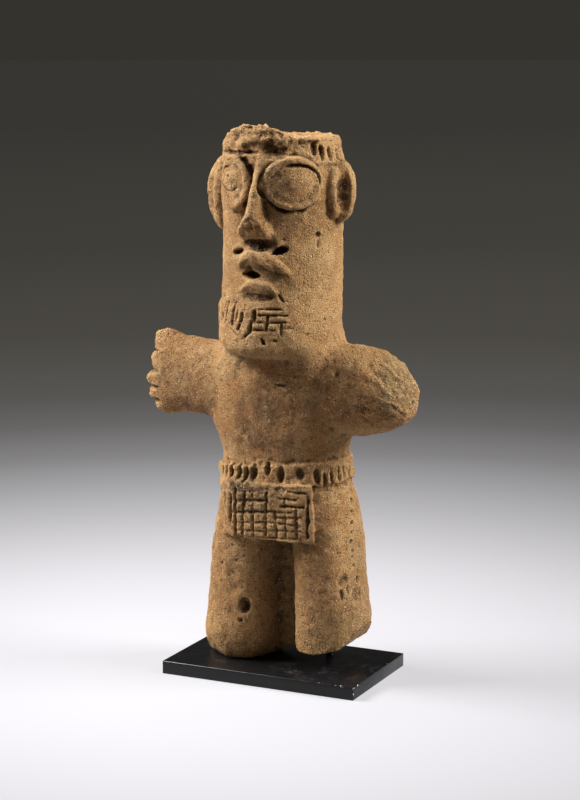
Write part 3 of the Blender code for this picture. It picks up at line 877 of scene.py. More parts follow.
    def forms(self, clay: Clay) -> list[bpy.types.Object]:
        """Lay on the eyes, ears, nose, lips and beard."""
        pieces = [piece for eye in self.eyes for piece in eye.forms(clay)]
        for side, high, length, reach in self.ears:
            place = (side.value * (reach - 12), 0, high)
            pieces.append(clay.pellet(place, (12, 8.5, length / 2), (0, 0, side.value * -18)))
        pieces.append(clay.trim(clay.roll(self.nose, power=self.nose_power), [self.nose_break]))
        pieces += [clay.pellet(*pellet) for pellet in (*self.lips, *self.ear_roots)]
        pieces.append(clay.roll(self.beard, steps=16))
        return pieces

    def carve(self, skin: Skin) -> None:
        """Cut the eyes, the nostrils, the mouth, the nicks, the beard and the ears.

        Args:
            skin: Skin of the fused figure.
        """
        for eye in self.eyes:
            for line in eye.scores:
                eye.score(skin, line)
        for slot in self.slots:
            skin.slot(*slot)
        for hole in self.holes:
            skin.hole(*hole)
        skin.dents(self.dents)
        skin.strokes(self.beard_strokes)
        self.chop_beard(skin)
        self.hollow_ears(skin)

    def chop_beard(self, skin: Skin) -> None:
        """Chop up the clay between the beard's strokes."""
        x, y, z = skin.points.T
        chopped = (z > 223) & (z < 248) & (x > -34) & (x < -3) & (y < -14)
        skin.sink(chopped, Unevenness(31).fracture(skin.points * (1.0, 1.0, 0.6), 3.0) - 0.35, 0.7)

    def hollow_ears(self, skin: Skin) -> None:
        """Hollow the ears, leaving a rim."""
        for side, high, length, reach in self.ears:
            deep = 3.4 if side is Side.RIGHT else 1.6
            skin.dent((side.value * (reach - 5.2), -9, high - 1), (4.4, 8.5, length * 0.38), deep)

    def fracture(self, skin: Skin) -> None:
        """Leave the scar of the broken nose and the knob of the left eye rough.

        Args:
            skin: Skin of the fused figure.
        """
        rough = Unevenness(24).rough(skin.points, 4.5, 3) + 0.5 * Unevenness(25).fracture(skin.points, 3.0)
        scar = np.sqrt(skin.near((-1, -48, 297), (13, 8, 8)))
        knob = np.sqrt(skin.near((-20, -41, 327), (9, 9, 8)))
        skin.swell(0.75 * rough * scar + 0.45 * rough * knob)


@dataclass
class Cap:
    """Clay band round the head's top: rough on one side, lost over the nose, notched on the other."""

    low: float = 337.0
    top: float = 353.0
    rise: float = 2.6
    notches: int = 30
    radius: float = 39.5
    crown: tuple[Row, ...] = (
        (337, 0.0, 0.0, 38.0, 38.0),
        (345, -0.5, 0.0, 36.0, 36.5),
        (350, -0.5, 0.0, 34.8, 36.0),
        (355, -0.5, 0.0, 32.0, 34.0),
    )
    lumps: tuple[Pellet, ...] = (
        ((-30.6, -16.8, 347.5), (7.5, 4.2, 4.8), (0, 0, -62)),
        ((-22.3, -28.2, 348.5), (8.5, 4.4, 5.2), (0, 0, -38)),
        ((-8.8, -35.2, 350.5), (9.5, 4.4, 5.0), (0, -10, -14)),
        ((27.5, -22.5, 352.4), (10.0, 4.4, 3.0), (0, 0, 48)),
        ((-17.0, -27.0, 356.5), (9.0, 6.0, 3.6), (0, 0, -30)),
        ((-1.0, -31.0, 358.0), (11.0, 6.0, 3.4), (0, 0, -4)),
    )
    # Turn in degrees, height, width and length of each
    front_notches: tuple[tuple[float, float, float, float], ...] = (
        (-33.6, 346.0, 5.8, 9.5),
        (-24.4, 344.0, 4.6, 11.0),
        (-13.4, 342.6, 4.6, 11.5),
        (-1.0, 340.4, 5.0, 12.0),
    )

    def forms(self, clay: Clay) -> list[bpy.types.Object]:
        """Lay the band and the rolled lumps on its rim."""
        return [clay.roll(self.crown, grow=self.rise), *(clay.pellet(*lump) for lump in self.lumps)]

    def break_off(self, skin: Skin) -> None:
        """Break the top of the head off unevenly.

        Args:
            skin: Skin of the fused figure.
        """
        x, y, z = skin.points.T
        edge = self.top + 0.9 * Unevenness(3).at(skin.points * (1, 1, 0), 13)
        edge += 7.5 * np.exp(-(((x - 1) / 16) ** 2) - ((y + 36) / 18) ** 2)
        edge += 4.5 * np.exp(-(((x + 16) / 8) ** 2) - ((y + 28) / 14) ** 2)
        edge -= 4.0 * np.exp(-((x / 24) ** 2) - ((y - 8) / 20) ** 2)
        cut = z > edge
        edge += np.where(cut, 0.9 * Unevenness(4).fracture(skin.points * (1, 1, 0), 5.0), 0)
        skin.points[:, 2] = np.where(cut, edge, z)

    def carve(self, skin: Skin) -> None:
        """Hollow the place over the nose, undercut the rough side and notch the other.

        Args:
            skin: Skin of the fused figure.
        """
        x, y, z = skin.points.T
        skin.dent((12.0, -39.0, 346.8), (13.0, 9.5, 7.4), 4.6, 1.3)
        turn = np.degrees(np.arctan2(y, x))
        outer = np.hypot(x, y) > self.radius - 4
        line = 343.2 + 0.0245 * (turn + 144)
        strength = np.clip((turn + 150) / 30, 0.35, 1) * np.clip((-88 - turn) / 6, 0, 1)
        under = outer & (turn > -150) & (turn < -88)
        skin.sink(under, (1 - ((z - line) / 1.5) ** 2 + 0.3 * skin.ragged) * strength, 2.2)
        over = outer & (turn > -50) & (turn < -30)
        skin.sink(over, (1 - ((z - 350.6) / 1.6) ** 2) + 0.4 * skin.ragged, 0.8)
        for place, middle, width, long in self.front_notches:
            away = np.abs(turn - place) * math.pi / 180 * self.radius
            taper = np.clip(1.0 + 0.5 * (z - middle) / long, 0.5, 1.5)
            near = 1 - (2 * away / (width * taper)) ** 2 - (2 * (z - middle) / long) ** 2
            skin.sink(outer & (z > 330), near * 1.6 + 0.2 * skin.ragged, 2.8)
        step = 360 / self.notches
        rest = outer & (z > self.low - 2) & (z < self.top - 3) & ((turn > 0) | (turn < -150))
        uneven = step * (0.5 + np.floor(turn / step)) + 1.6 * np.sin(np.floor(turn / step) * 2.3)
        away = np.abs(turn - uneven) * math.pi / 180 * self.radius
        near = (1 - (away / 1.7) ** 2) * np.clip(1.5 - np.abs(z - self.low - 5.5) / 4.6, 0, 1)
        skin.sink(rest, near, 2.4)

    def fracture(self, skin: Skin) -> None:
        """Roughen the band where it has lost its skin."""
        x, y, z = skin.points.T
        turn = np.degrees(np.arctan2(y, x))
        broken = np.clip((z - 340.5) / 3, 0, 1) * np.clip((-36 - turn) / 14, 0, 1)
        broken *= np.clip((turn + 158) / 10, 0, 1)
        rough = 0.75 * Unevenness(21).rough(skin.points, 6.5, 3)
        rough += 0.4 * Unevenness(22).fracture(skin.points, 3.2)
        skin.swell(broken * rough)
        above = np.clip((z - 346) / 4, 0, 1)
        skin.swell(above * 0.35 * Unevenness(23).rough(skin.points, 5.0, 3))


@dataclass
class Belt:
    """Notched belt round the waist, a little higher on the stump's side."""

    low: float = 126.0
    high: float = 141.5
    rise: float = 2.2
    tilt: float = 0.1
    pivot: float = 32.0
    depth: float = 2.6
    power: float = 2.5
    middle: tuple[float, float] = (0.8, 2.5)
    half_waist: float = 43.0
    unseen: tuple[float, float] = (12.5, 201.0)
    knob: tuple[Point, Point] = ((-42.4, -6, 130), (3.6, 5, 5.5))
    pressed: tuple[Notch, ...] = (
        (-150.0, 131.0, 3.4, 6.4, 1.0),
        (-143.0, 131.0, 3.4, 6.2, 0.9),
        (-135.0, 131.4, 3.4, 6.2, 1.0),
        (-125.7, 132.5, 3.4, 6.0, 0.9),
        (-116.7, 131.4, 3.8, 6.4, 1.0),
        (-107.3, 133.0, 5.8, 5.8, 1.0),
        (-88.0, 136.0, 4.6, 4.8, 1.0),
        (-71.0, 133.3, 5.2, 6.0, 1.0),
        (-50.3, 134.0, 6.4, 5.0, 0.6),
        (-35.5, 133.0, 4.8, 6.0, 0.9),
        (-28.8, 130.4, 3.4, 5.4, 0.9),
        (-22.4, 130.7, 2.6, 6.0, 0.9),
        (-14.4, 133.2, 3.2, 6.0, 0.9),
        (-7.3, 132.2, 3.2, 6.0, 0.9),
        (3.5, 131.5, 3.4, 6.0, 0.9),
    )

    def forms(self, clay: Clay, trunk: Trunk) -> list[bpy.types.Object]:
        """Lay the belt round the trunk and tilt it."""
        ends = (self.low, self.high)
        band = clay.roll(trunk.trunk, power=self.power, steps=8, grow=self.rise, ends=ends)
        for vertex in band.data.vertices:
            vertex.co.z += self.tilt * (vertex.co.x - self.pivot)
        return [band, clay.pellet(*self.knob)]

    def places(self) -> list[Notch]:
        """Return every notch, those on the unseen side spaced by chance."""
        places = list(self.pressed)
        rng = np.random.default_rng(5)
        turn, last = self.unseen
        while turn < last:
            across = self.half_waist * math.cos(math.radians(turn))
            middle = (self.low + self.high) / 2 + self.tilt * (across - self.pivot)
            width, half = float(rng.uniform(3.0, 4.2)), float(rng.uniform(5.4, 6.8))
            places.append((turn, middle, width, half, 0.9))
            turn += float(rng.uniform(8.8, 12.0))
        return places

    def carve(self, skin: Skin) -> None:
        """Press the upright notches all the way round.

        Args:
            skin: Skin of the fused figure.
        """
        x, y, z = skin.points.T
        across, back = x - self.middle[0], y - self.middle[1]
        turn = np.degrees(np.arctan2(back, across))
        girth = np.hypot(across, back)
        lift = self.tilt * (x - self.pivot)
        near_belt = (z - lift > self.low - 4) & (z - lift < self.high + 4) & (np.abs(x) < 60)
        near_belt &= np.hypot(x / 45, back / 31) > 0.85
        for place, middle, width, half, share in self.places():
            away = np.abs((turn - place + 180) % 360 - 180) * math.pi / 180 * girth
            near = 1 - (2 * away / width) ** 2 - ((z - middle) / half) ** 2
            skin.sink(near_belt, near * 1.6 + 0.25 * skin.ragged * (near > -0.3), self.depth * share)
        skin.swell(np.where(near_belt, 0.55 * Unevenness(26).rough(skin.points, 5.0, 3), 0))
        edge = np.abs(z - lift - self.low) + 0.6
        skin.sink(near_belt & (y < 40) & (x < 34), 1 - (edge / 2.0) ** 2, 0.5)


@dataclass
class Apron:
    """Gridded apron in front of the hips, with a plain border strip beside a deep slot."""

    low: float = 88.0
    high: float = 127.0
    left: float = -27.0
    right: float = 34.4
    rise: float = 4.5
    power: float = 2.8
    rows: tuple[Stroke, ...] = (
        (-24.0, 119.4, -6.0, 121.0, 2.0, 0.8),
        (-24.0, 112.4, -14.0, 113.9, 2.2, 1.2),
        (-14.0, 113.9, 3.0, 115.5, 2.6, 2.0),
        (11.1, 117.6, 23.4, 117.4, 2.2, 1.4),
        (-25.0, 104.4, -17.3, 105.6, 2.2, 1.2),
        (-17.3, 105.6, 4.6, 108.0, 2.6, 2.0),
        (4.6, 108.0, 20.0, 108.6, 2.2, 1.2),
        (8.2, 104.2, 25.6, 105.6, 2.2, 1.4),
        (-24.5, 97.6, -18.1, 98.3, 2.2, 1.2),
        (-18.1, 98.3, 4.0, 100.9, 2.2, 1.3),
        (4.0, 100.9, 26.0, 100.0, 2.2, 1.2),
        (-23.0, 92.6, 4.0, 94.6, 2.2, 1.2),
        (6.0, 95.4, 26.0, 96.4, 2.2, 1.2),
        (-20.0, 88.4, 26.0, 91.4, 2.0, 0.9),
    )
    columns: tuple[Stroke, ...] = (
        (-25.6, 117.8, -26.1, 96.2, 2.4, 1.4),
        (-21.8, 121.3, -22.1, 88.0, 2.6, 2.0),
        (-14.1, 119.9, -16.3, 103.4, 2.8, 2.0),
        (-16.3, 103.4, -16.6, 89.6, 2.6, 1.6),
        (-8.3, 119.0, -8.3, 104.2, 2.2, 1.2),
        (-8.3, 104.2, -8.4, 90.0, 2.8, 1.9),
        (2.0, 120.6, 0.9, 91.8, 2.8, 2.0),
        (7.8, 108.5, 8.6, 90.9, 2.8, 2.0),
        (14.8, 118.0, 15.2, 92.0, 2.2, 1.2),
        (22.9, 110.8, 23.4, 92.3, 2.8, 2.0),
        (-34.7, 114.5, -34.5, 105.7, 1.8, 0.6),
        (-30.8, 118.0, -30.6, 100.0, 1.8, 0.6),
    )
    border: tuple[Stroke, ...] = (
        (12.2, 112.4, 28.2, 112.9, 2.2, 2.8),
        (18.1, 122.8, 29.2, 122.1, 2.2, 1.4),
        (30.8, 120.5, 30.7, 113.0, 2.4, 1.8),
        (30.7, 113.0, 30.6, 92.8, 2.8, 3.4),
    )

    def forms(self, clay: Clay, trunk: Trunk) -> list[bpy.types.Object]:
        """Lay a slab over the hips and trim its sides and back."""
        ends = (self.low, self.high)
        slab = clay.roll(trunk.trunk, power=self.power, steps=16, grow=self.rise, ends=ends)
        planes = (
            ((self.left, 0, self.high), (-1, 0, 0.18)),
            ((self.right, -29, self.high), (1, 0.5, 0.05)),
            ((0, -6, self.low), (0, 1, 0)),
        )
        return [clay.trim(slab, planes)]

    def carve(self, skin: Skin) -> None:
        """Press the rows and columns of the grid and the slot of the border.

        Args:
            skin: Skin of the fused figure.
        """
        skin.strokes(self.rows + self.columns + self.border)
        x, y, z = skin.points.T
        scored = (z > self.low) & (z < 123) & (x > self.left - 4) & (x < 29) & (y < -16)
        skin.sink(scored, Unevenness(33).fracture(skin.points, 3.2) - 0.3, 0.8)


class Tint(Enum):
    """Colours that fire and earth have left on the clay, one of them also used for painted shade, by the
    name of their layer.
    """

    SOOT_AND_SHADE = "soot"
    RUST = "rust"
    OCHRE = "ochre"


STAINS: dict[Tint, tuple[Stain, ...]] = {
    Tint.SOOT_AND_SHADE: (
        # Soot together with painted shade on the chest, and on the right shoulder below the chin
        ((4, -31, 168), (28, 22, 34), 0.78),
        ((44, -27, 192), (32, 20, 26), 0.56),
        ((84, -6, 190), (18, 26, 32), 0.52),
        ((54, 0, 40), (16, 28, 56), 0.50),
        ((0, 0, 356), (34, 34, 7), 0.22),
        ((-62, -14, 188), (40, 18, 28), 0.42),
        # Darker on the far leg's front
        ((33, -24, 66), (22, 16, 54), 0.60),
        ((-10, -29, 118), (26, 12, 18), 0.95),
        ((-6, -30, 142), (24, 14, 12), 0.50),
        ((14, -28, 137), (18, 12, 9), 0.60),
        # Painted shade in the groove between the legs
        ((2, 0, 60), (11, 22, 50), 0.60),
        # Painted shade in the mouth under the upper lip, under the lower lip and under the nose
        ((-2, -42, 270), (12, 9, 7), 0.75),
        ((2, -43, 252), (15, 8, 5), 0.65),
        ((4, -42, 285), (15, 12, 6), 0.75),
        # Painted shadow of the nose on the right eye, painted shade in the hollow over the nose and on the
        # nose's right side
        ((14, -40, 325), (10, 9, 9), 0.50),
        ((11, -38, 346), (10, 10, 8), 0.85),
        ((8, -44, 333), (5, 8, 16), 0.45),
        ((52, -12, 56), (8, 12, 14), 0.30),
        # Darker on the near leg below the apron
        ((-12, -30, 70), (22, 12, 30), 0.30),
        ((10, 34, 150), (30, 16, 60), 0.35),
        ((-20, 30, 60), (26, 18, 36), 0.35),
    ),
    Tint.RUST: (
        ((4, -30, 170), (46, 24, 46), 0.95),
        ((50, -24, 190), (34, 20, 28), 0.80),
        ((-66, -14, 188), (34, 16, 24), 0.35),
        ((-30, -24, 40), (26, 14, 44), 0.40),
        ((-80, -12, 176), (20, 20, 15), 0.70),
        ((-99, -5, 190), (9, 15, 26), 0.50),
        ((7, -28, 136), (24, 12, 8), 0.50),
        ((-30, -22, 133), (13, 14, 10), 0.50),
        ((-24, -27, 92), (8, 8, 10), 0.60),
        ((89, -10, 174), (11, 16, 10), 0.60),
        ((47, -9, 318), (6, 8, 19), 0.80),
        ((38.4, -12, 311.8), (4, 5, 7), 1.00),
        ((24, -32, 322), (16, 12, 14), 0.45),
        ((-18, -34, 346), (18, 11, 7), 0.45),
        ((25, -37, 234.6), (3.2, 5, 4.4), 1.0),
        ((0, -48, 296), (13, 12, 8), 0.45),
        ((16.8, -39.7, 275), (5, 6, 4), 0.60),
        ((-6, -42, 213), (22, 14, 6), 0.45),
        ((62, -22, 206), (16, 14, 10), 0.35),
        ((36, -24, 70), (24, 16, 50), 0.80),
        ((-38, -18, 60), (14, 14, 30), 0.30),
        ((30, 28, 190), (30, 18, 26), 0.40),
    ),
    Tint.OCHRE: (
        ((85, -10, 198), (15, 22, 24), 0.80),
        ((-24, -31, 205), (18, 14, 13), 0.50),
        ((45, -20, 28), (20, 18, 26), 0.50),
        ((34, -20, 270), (14, 16, 30), 0.30),
        ((0, 38, 280), (30, 16, 50), 0.35),
        ((-30, 30, 160), (26, 16, 30), 0.30),
    ),
}


@dataclass
class Weathering:
    """What age does to the clay's surface: lumps, chance pits and stains; also how hollow each place is,
    which the clay's colour turns into painted shade.
    """

    # Size and height of each kind of lump
    lumps: tuple[tuple[float, float], ...] = ((15.0, 0.40), (5.5, 0.26), (3.2, 0.22))
    pits: int = 150
    pit_sizes: tuple[float, ...] = (1.0, 1.3, 1.7, 2.4)
    pit_chances: tuple[float, ...] = (0.5, 0.34, 0.13, 0.03)
    seed: int = 17
    crease_steps: int = 6
    crease_depth: float = 0.30
    hollow_steps: int = 60
    hollow_depth: float = 1.6

    def lump(self, skin: Skin) -> None:
        """Leave the surface uneven, as from patting and wear."""
        for k, (size, height) in enumerate(self.lumps):
            skin.swell(height * Unevenness(40 + k).at(skin.points, size))

    def pit(self, skin: Skin) -> None:
        """Scatter pits where grit has fallen out.

        Args:
            skin: Skin of the carved figure.
        """
        rng = np.random.default_rng(self.seed)
        tree = KDTree(skin.count)
        for k, point in enumerate(skin.points):
            tree.insert(point, k)
        tree.balance()
        for k in rng.choice(skin.count, self.pits, replace=False):
            size = float(rng.choice(self.pit_sizes, p=self.pit_chances))
            depth = size * float(rng.uniform(0.25, 0.5))
            for _, index, away in tree.find_range(skin.points[k], size):
                skin.depth[index] = max(skin.depth[index], depth * (1 - (away / size) ** 2))

    def paint(self, body: bpy.types.Object) -> None:
        """Store how hollow each place is, for painted shade and highlights, and how strong each tint is
        there.

        Args:
            body: The finished figure, still in 360ths.
        """
        skin = Skin(body)
        edges = np.empty(len(body.data.edges) * 2, np.int32)
        body.data.edges.foreach_get("vertices", edges)
        one, two = edges.reshape(-1, 2).T
        share = 1 / np.maximum(np.bincount(np.concatenate([one, two]), minlength=skin.count), 1)
        eased = skin.points.copy()
        layers = {self.crease_steps: ("crease", self.crease_depth)}
        layers[self.hollow_steps] = ("hollow", self.hollow_depth)
        for step in range(1, self.hollow_steps + 1):
            near = np.empty_like(eased)
            for k in range(3):
                near[:, k] = np.bincount(one, eased[two, k], skin.count)
                near[:, k] += np.bincount(two, eased[one, k], skin.count)
            eased = 0.5 * eased + 0.5 * near * share[:, None]
            if step in layers:
                name, depth = layers[step]
                sunk = ((eased - skin.points) * skin.normals).sum(axis=1)
                self.store(body, name, np.clip(sunk / depth, -1, 1))
        broken = Unevenness(71).rough(skin.points, 9, 4)
        for tint in Tint:
            total = np.zeros(skin.count)
            for middle, radii, strength in STAINS[tint]:
                near = np.sqrt(skin.near(middle, radii)) + 0.32 * broken - 0.10
                inside = skin.near(middle, tuple(1.4 * r for r in radii)) > 0
                total = np.maximum(total, np.where(inside, np.clip(near, 0, 1) * strength, 0))
            self.store(body, tint.value, total)

    @staticmethod
    def store(body: bpy.types.Object, name: str, values: Array) -> None:
        """Store one value a point under a name."""
        layer = body.data.attributes.new(name, "FLOAT", "POINT")
        layer.data.foreach_set("value", values.astype(np.float32))


Amount = "Wire | float"
Colour = tuple[float, float, float]


@dataclass(frozen=True)
class Wire:
    """A shader socket that takes part in sums."""

    recipe: "Recipe"
    socket: bpy.types.NodeSocket

    def __add__(self, other: Amount) -> "Wire":
        """Return self + other."""
        return self.recipe.maths("ADD", self, other)

    def __radd__(self, other: float) -> "Wire":
        """Return other + self."""
        return self.recipe.maths("ADD", other, self)

    def __sub__(self, other: Amount) -> "Wire":
        """Return self - other."""
        return self.recipe.maths("SUBTRACT", self, other)

    def __rsub__(self, other: float) -> "Wire":
        """Return other - self."""
        return self.recipe.maths("SUBTRACT", other, self)

    def __mul__(self, other: Amount) -> "Wire":
        """Return self x other."""
        return self.recipe.maths("MULTIPLY", self, other)

    def __rmul__(self, other: float) -> "Wire":
        """Return other x self."""
        return self.recipe.maths("MULTIPLY", other, self)

    def at_least(self, other: Amount) -> "Wire":
        """Return the greater of the two."""
        return self.recipe.maths("MAXIMUM", self, other)

    def size(self) -> "Wire":
        """Return the value without its sign."""
        return self.recipe.maths("ABSOLUTE", self)

    def rise(self, low: float, high: float) -> "Wire":
        """Return 0 below low, 1 above high and an eased rise between."""
        ranges = {"Value": self, "From Min": low, "From Max": high}
        made = self.recipe.node("ShaderNodeMapRange", {"interpolation_type": "SMOOTHSTEP"}, ranges)
        return Wire(self.recipe, made.outputs[0])

    def fall(self, low: float, high: float) -> "Wire":
        """Return 1 below low and 0 above high."""
        return 1 - self.rise(low, high)


class Recipe:
    """The nodes of one material."""

    def __init__(self, name: str) -> None:
        """Start a material with the standard surface shader."""
        self.material = bpy.data.materials.new(name)
        self.material.use_nodes = True
        self.tree = self.material.node_tree
        self.shader = self.tree.nodes["Principled BSDF"]
        self.place = Wire(self, self.node("ShaderNodeTexCoord").outputs["Object"])

    def node(
        self, kind: str, settings: dict[str, Any] | None = None, sockets: dict[Any, Any] | None = None
    ) -> bpy.types.Node:
        """Add a node.

        Args:
            kind: The node's type.
            settings: Its settings, which are set first; "stops" fills a ramp.
            sockets: Values or wires of its sockets, by name or number.

        Returns:
            The node.
        """
        made = self.tree.nodes.new(kind)
        for name, value in (settings or {}).items():
            if name == "stops":
                ramp = made.color_ramp
                while len(ramp.elements) < len(value):
                    ramp.elements.new(0.5)
                for element, (position, colour) in zip(ramp.elements, value):
                    element.position, element.color = position, (*colour, 1)
            else:
                setattr(made, name, value)
        for key, value in (sockets or {}).items():
            self.feed(made.inputs[key], value)
        return made

    def feed(self, socket: bpy.types.NodeSocket, value: Any) -> None:
        """Link a wire to a socket or set the socket's value."""
        if isinstance(value, Wire):
            self.tree.links.new(value.socket, socket)
        elif isinstance(value, tuple) and len(value) == 3 and socket.type == "RGBA":
            socket.default_value = (*value, 1)
        else:
            socket.default_value = value

    def maths(self, operation: str, *values: Any) -> Wire:
        """Return the result of an operation on numbers."""
        made = self.node("ShaderNodeMath", {"operation": operation}, dict(enumerate(values)))
        return Wire(self, made.outputs[0])

    def mix(self, share: Amount, under: Any, over: Any, blend: str = "MIX") -> Wire:
        """Return a mix of two colours."""
        settings = {"data_type": "RGBA", "blend_type": blend}
        made = self.node("ShaderNodeMix", settings, {0: share, 6: under, 7: over})
        return Wire(self, made.outputs[2])

    def cloud(self, size: float, detail: float = 3.0, rough: float = 0.55, shift: Point = (0, 0, 0)) -> Wire:
        """Return cloudy noise between about 0.2 and 0.8, with features of a size in millimetres."""
        moved = self.node("ShaderNodeVectorMath", {"operation": "ADD"}, {0: self.place, 1: shift})
        sockets = {
            "Vector": Wire(self, moved.outputs[0]),
            "Scale": 1000 / size,
            "Detail": detail,
            "Roughness": rough,
        }
        return Wire(self, self.node("ShaderNodeTexNoise", None, sockets).outputs[0])

    def cells(self, size: float, shift: Point = (0, 0, 0), squeeze: Point = (1, 1, 1)) -> tuple[Wire, Wire]:
        """Return the distance to the nearest grain and a chance value of that grain.

        Args:
            size: Distance between grains in millimetres.
            shift: Moves the grains.
            squeeze: How much closer the grains lie along X, Y and Z.

        Returns:
            The distance in shares of the size, and the chance value.
        """
        sockets = {0: self.place, 1: squeeze, 2: shift}
        moved = self.node("ShaderNodeVectorMath", {"operation": "MULTIPLY_ADD"}, sockets)
        grains = self.node(
            "ShaderNodeTexVoronoi", None, {"Vector": Wire(self, moved.outputs[0]), "Scale": 1000 / size}
        )
        split = self.node("ShaderNodeSeparateColor", None, {0: Wire(self, grains.outputs["Color"])})
        return Wire(self, grains.outputs["Distance"]), Wire(self, split.outputs[0])

    def layer(self, name: str) -> Wire:
        """Return a layer stored on the points."""
        return Wire(self, self.node("ShaderNodeAttribute", {"attribute_name": name}).outputs["Fac"])

    def relief(self, height: Wire, depth: float) -> Wire:
        """Return a normal raised by a height of 0 to 1 times a depth in millimetres."""
        sockets = {"Strength": 1.0, "Distance": depth / 1000, "Height": height}
        return Wire(self, self.node("ShaderNodeBump", None, sockets).outputs[0])

    def finish(self, body: bpy.types.Object, **sockets: Any) -> None:
        """Set the shader's sockets and put the material on a piece.

        Args:
            body: The piece.
            sockets: Values by socket name, with underscores for spaces.
        """
        for name, value in sockets.items():
            self.feed(self.shader.inputs[name.replace("_", " ")], value)
        body.data.materials.clear()
        body.data.materials.append(self.material)


@dataclass(frozen=True)
class FiredClay:
    """Coarse sandy fired clay, stained by fire and earth, with painted shade in its creases and hollows and
    painted highlights on its raised edges.
    """

    sand: Colour = (0.362, 0.196, 0.071)
    brown: Colour = (0.236, 0.110, 0.029)
    tan_and_highlight: Colour = (0.46, 0.288, 0.122)
    rust: Colour = (0.335, 0.136, 0.034)
    ochre: Colour = (0.31, 0.215, 0.086)
    soot: Colour = (0.064, 0.030, 0.009)
    grit: Colour = (0.70, 0.51, 0.27)
    pore_and_shade: Colour = (0.050, 0.023, 0.007)

    def dress(self, body: bpy.types.Object) -> None:
        """Put the clay's material on the figure.

        Args:
            body: The figure, with its stored layers.
        """
        r = Recipe("Fired clay")
        broad, patch = r.cloud(55, 4, 0.6), r.cloud(14, 5, 0.65, (3, 1, 2))
        mottle, fine = r.cloud(4.2, 4, 0.7, (1, 5, 2)), r.cloud(1.3, 3, 0.7, (7, 2, 1))
        colour = r.mix(broad.rise(0.40, 0.66), self.sand, self.brown)
        colour = r.mix(patch.rise(0.50, 0.72) * 0.65, colour, self.tan_and_highlight)
        colour = r.mix(patch.fall(0.30, 0.47) * 0.50, colour, self.brown)
        colour = r.mix(r.layer(Tint.OCHRE.value) * mottle.rise(0.22, 0.60), colour, self.ochre)
        red = r.cloud(7.5, 4, 0.7, (4, 4, 9))
        colour = r.mix(r.layer(Tint.RUST.value) * red.rise(0.30, 0.62) * 1.1, colour, self.rust)
        colour = r.mix(red.rise(0.60, 0.74) * 0.45, colour, self.rust)
        # Soot stains, together with painted shade where this layer marks the mouth, nose, eye, chin and the
        # groove between the legs
        colour = r.mix(r.layer(Tint.SOOT_AND_SHADE.value) * patch.rise(0.22, 0.58), colour, self.soot)
        colour = r.mix(mottle.rise(0.54, 0.76) * 0.20, colour, self.tan_and_highlight)
        colour = r.mix(fine.fall(0.30, 0.52) * 0.50, colour, self.brown)
        crease, hollow = r.layer("crease"), r.layer("hollow")
        # Painted shade in creases and hollows, and a painted highlight on raised edges
        colour = r.mix(crease.rise(0.10, 0.85) * 0.72, colour, self.pore_and_shade)
        colour = r.mix(hollow.rise(0.15, 0.95) * 0.50, colour, self.pore_and_shade)
        colour = r.mix((crease * -1).rise(0.15, 0.9) * 0.42, colour, self.tan_and_highlight)
        grain = r.cloud(0.75, 2, 0.7, (3, 3, 1))
        colour = r.mix(grain.rise(0.54, 0.68) * 0.62, colour, self.tan_and_highlight)
        colour = r.mix(grain.fall(0.32, 0.47) * 0.64, colour, self.pore_and_shade)
        spot, chance = r.cells(1.9, squeeze=(1.0, 1.0, 1.5))
        pore_and_shade = spot.fall(0.14, 0.42) * chance.rise(0.45, 0.76)
        gash, rare = r.cells(3.2, (6, 1, 2), (0.8, 0.8, 1.7))
        slit = gash.fall(0.08, 0.20) * rare.rise(0.82, 0.90)
        speck, luck = r.cells(2.1, (5, 5, 5))
        grit = speck.fall(0.13, 0.30) * luck.rise(0.58, 0.80)
        shell, few = r.cells(7.5, (2, 8, 5))
        chip = shell.fall(0.05, 0.10) * few.rise(0.60, 0.65)
        colour = r.mix(pore_and_shade * 0.72, colour, self.pore_and_shade)
        colour = r.mix(slit * 0.70, colour, self.pore_and_shade)
        colour = r.mix(grit * 0.50, colour, self.grit)
        colour = r.mix(chip * 0.75, colour, self.grit)
        height = fine * 1.3 + mottle * 0.5 + grain * 0.8 + grit * 0.25 - pore_and_shade * 0.7 - slit * 0.8
        normal = r.relief(height, 1.2)
        r.finish(
            body,
            Base_Color=colour,
            Roughness=0.74 + fine * 0.16,
            Specular_IOR_Level=0.32,
            Normal=normal,
        )


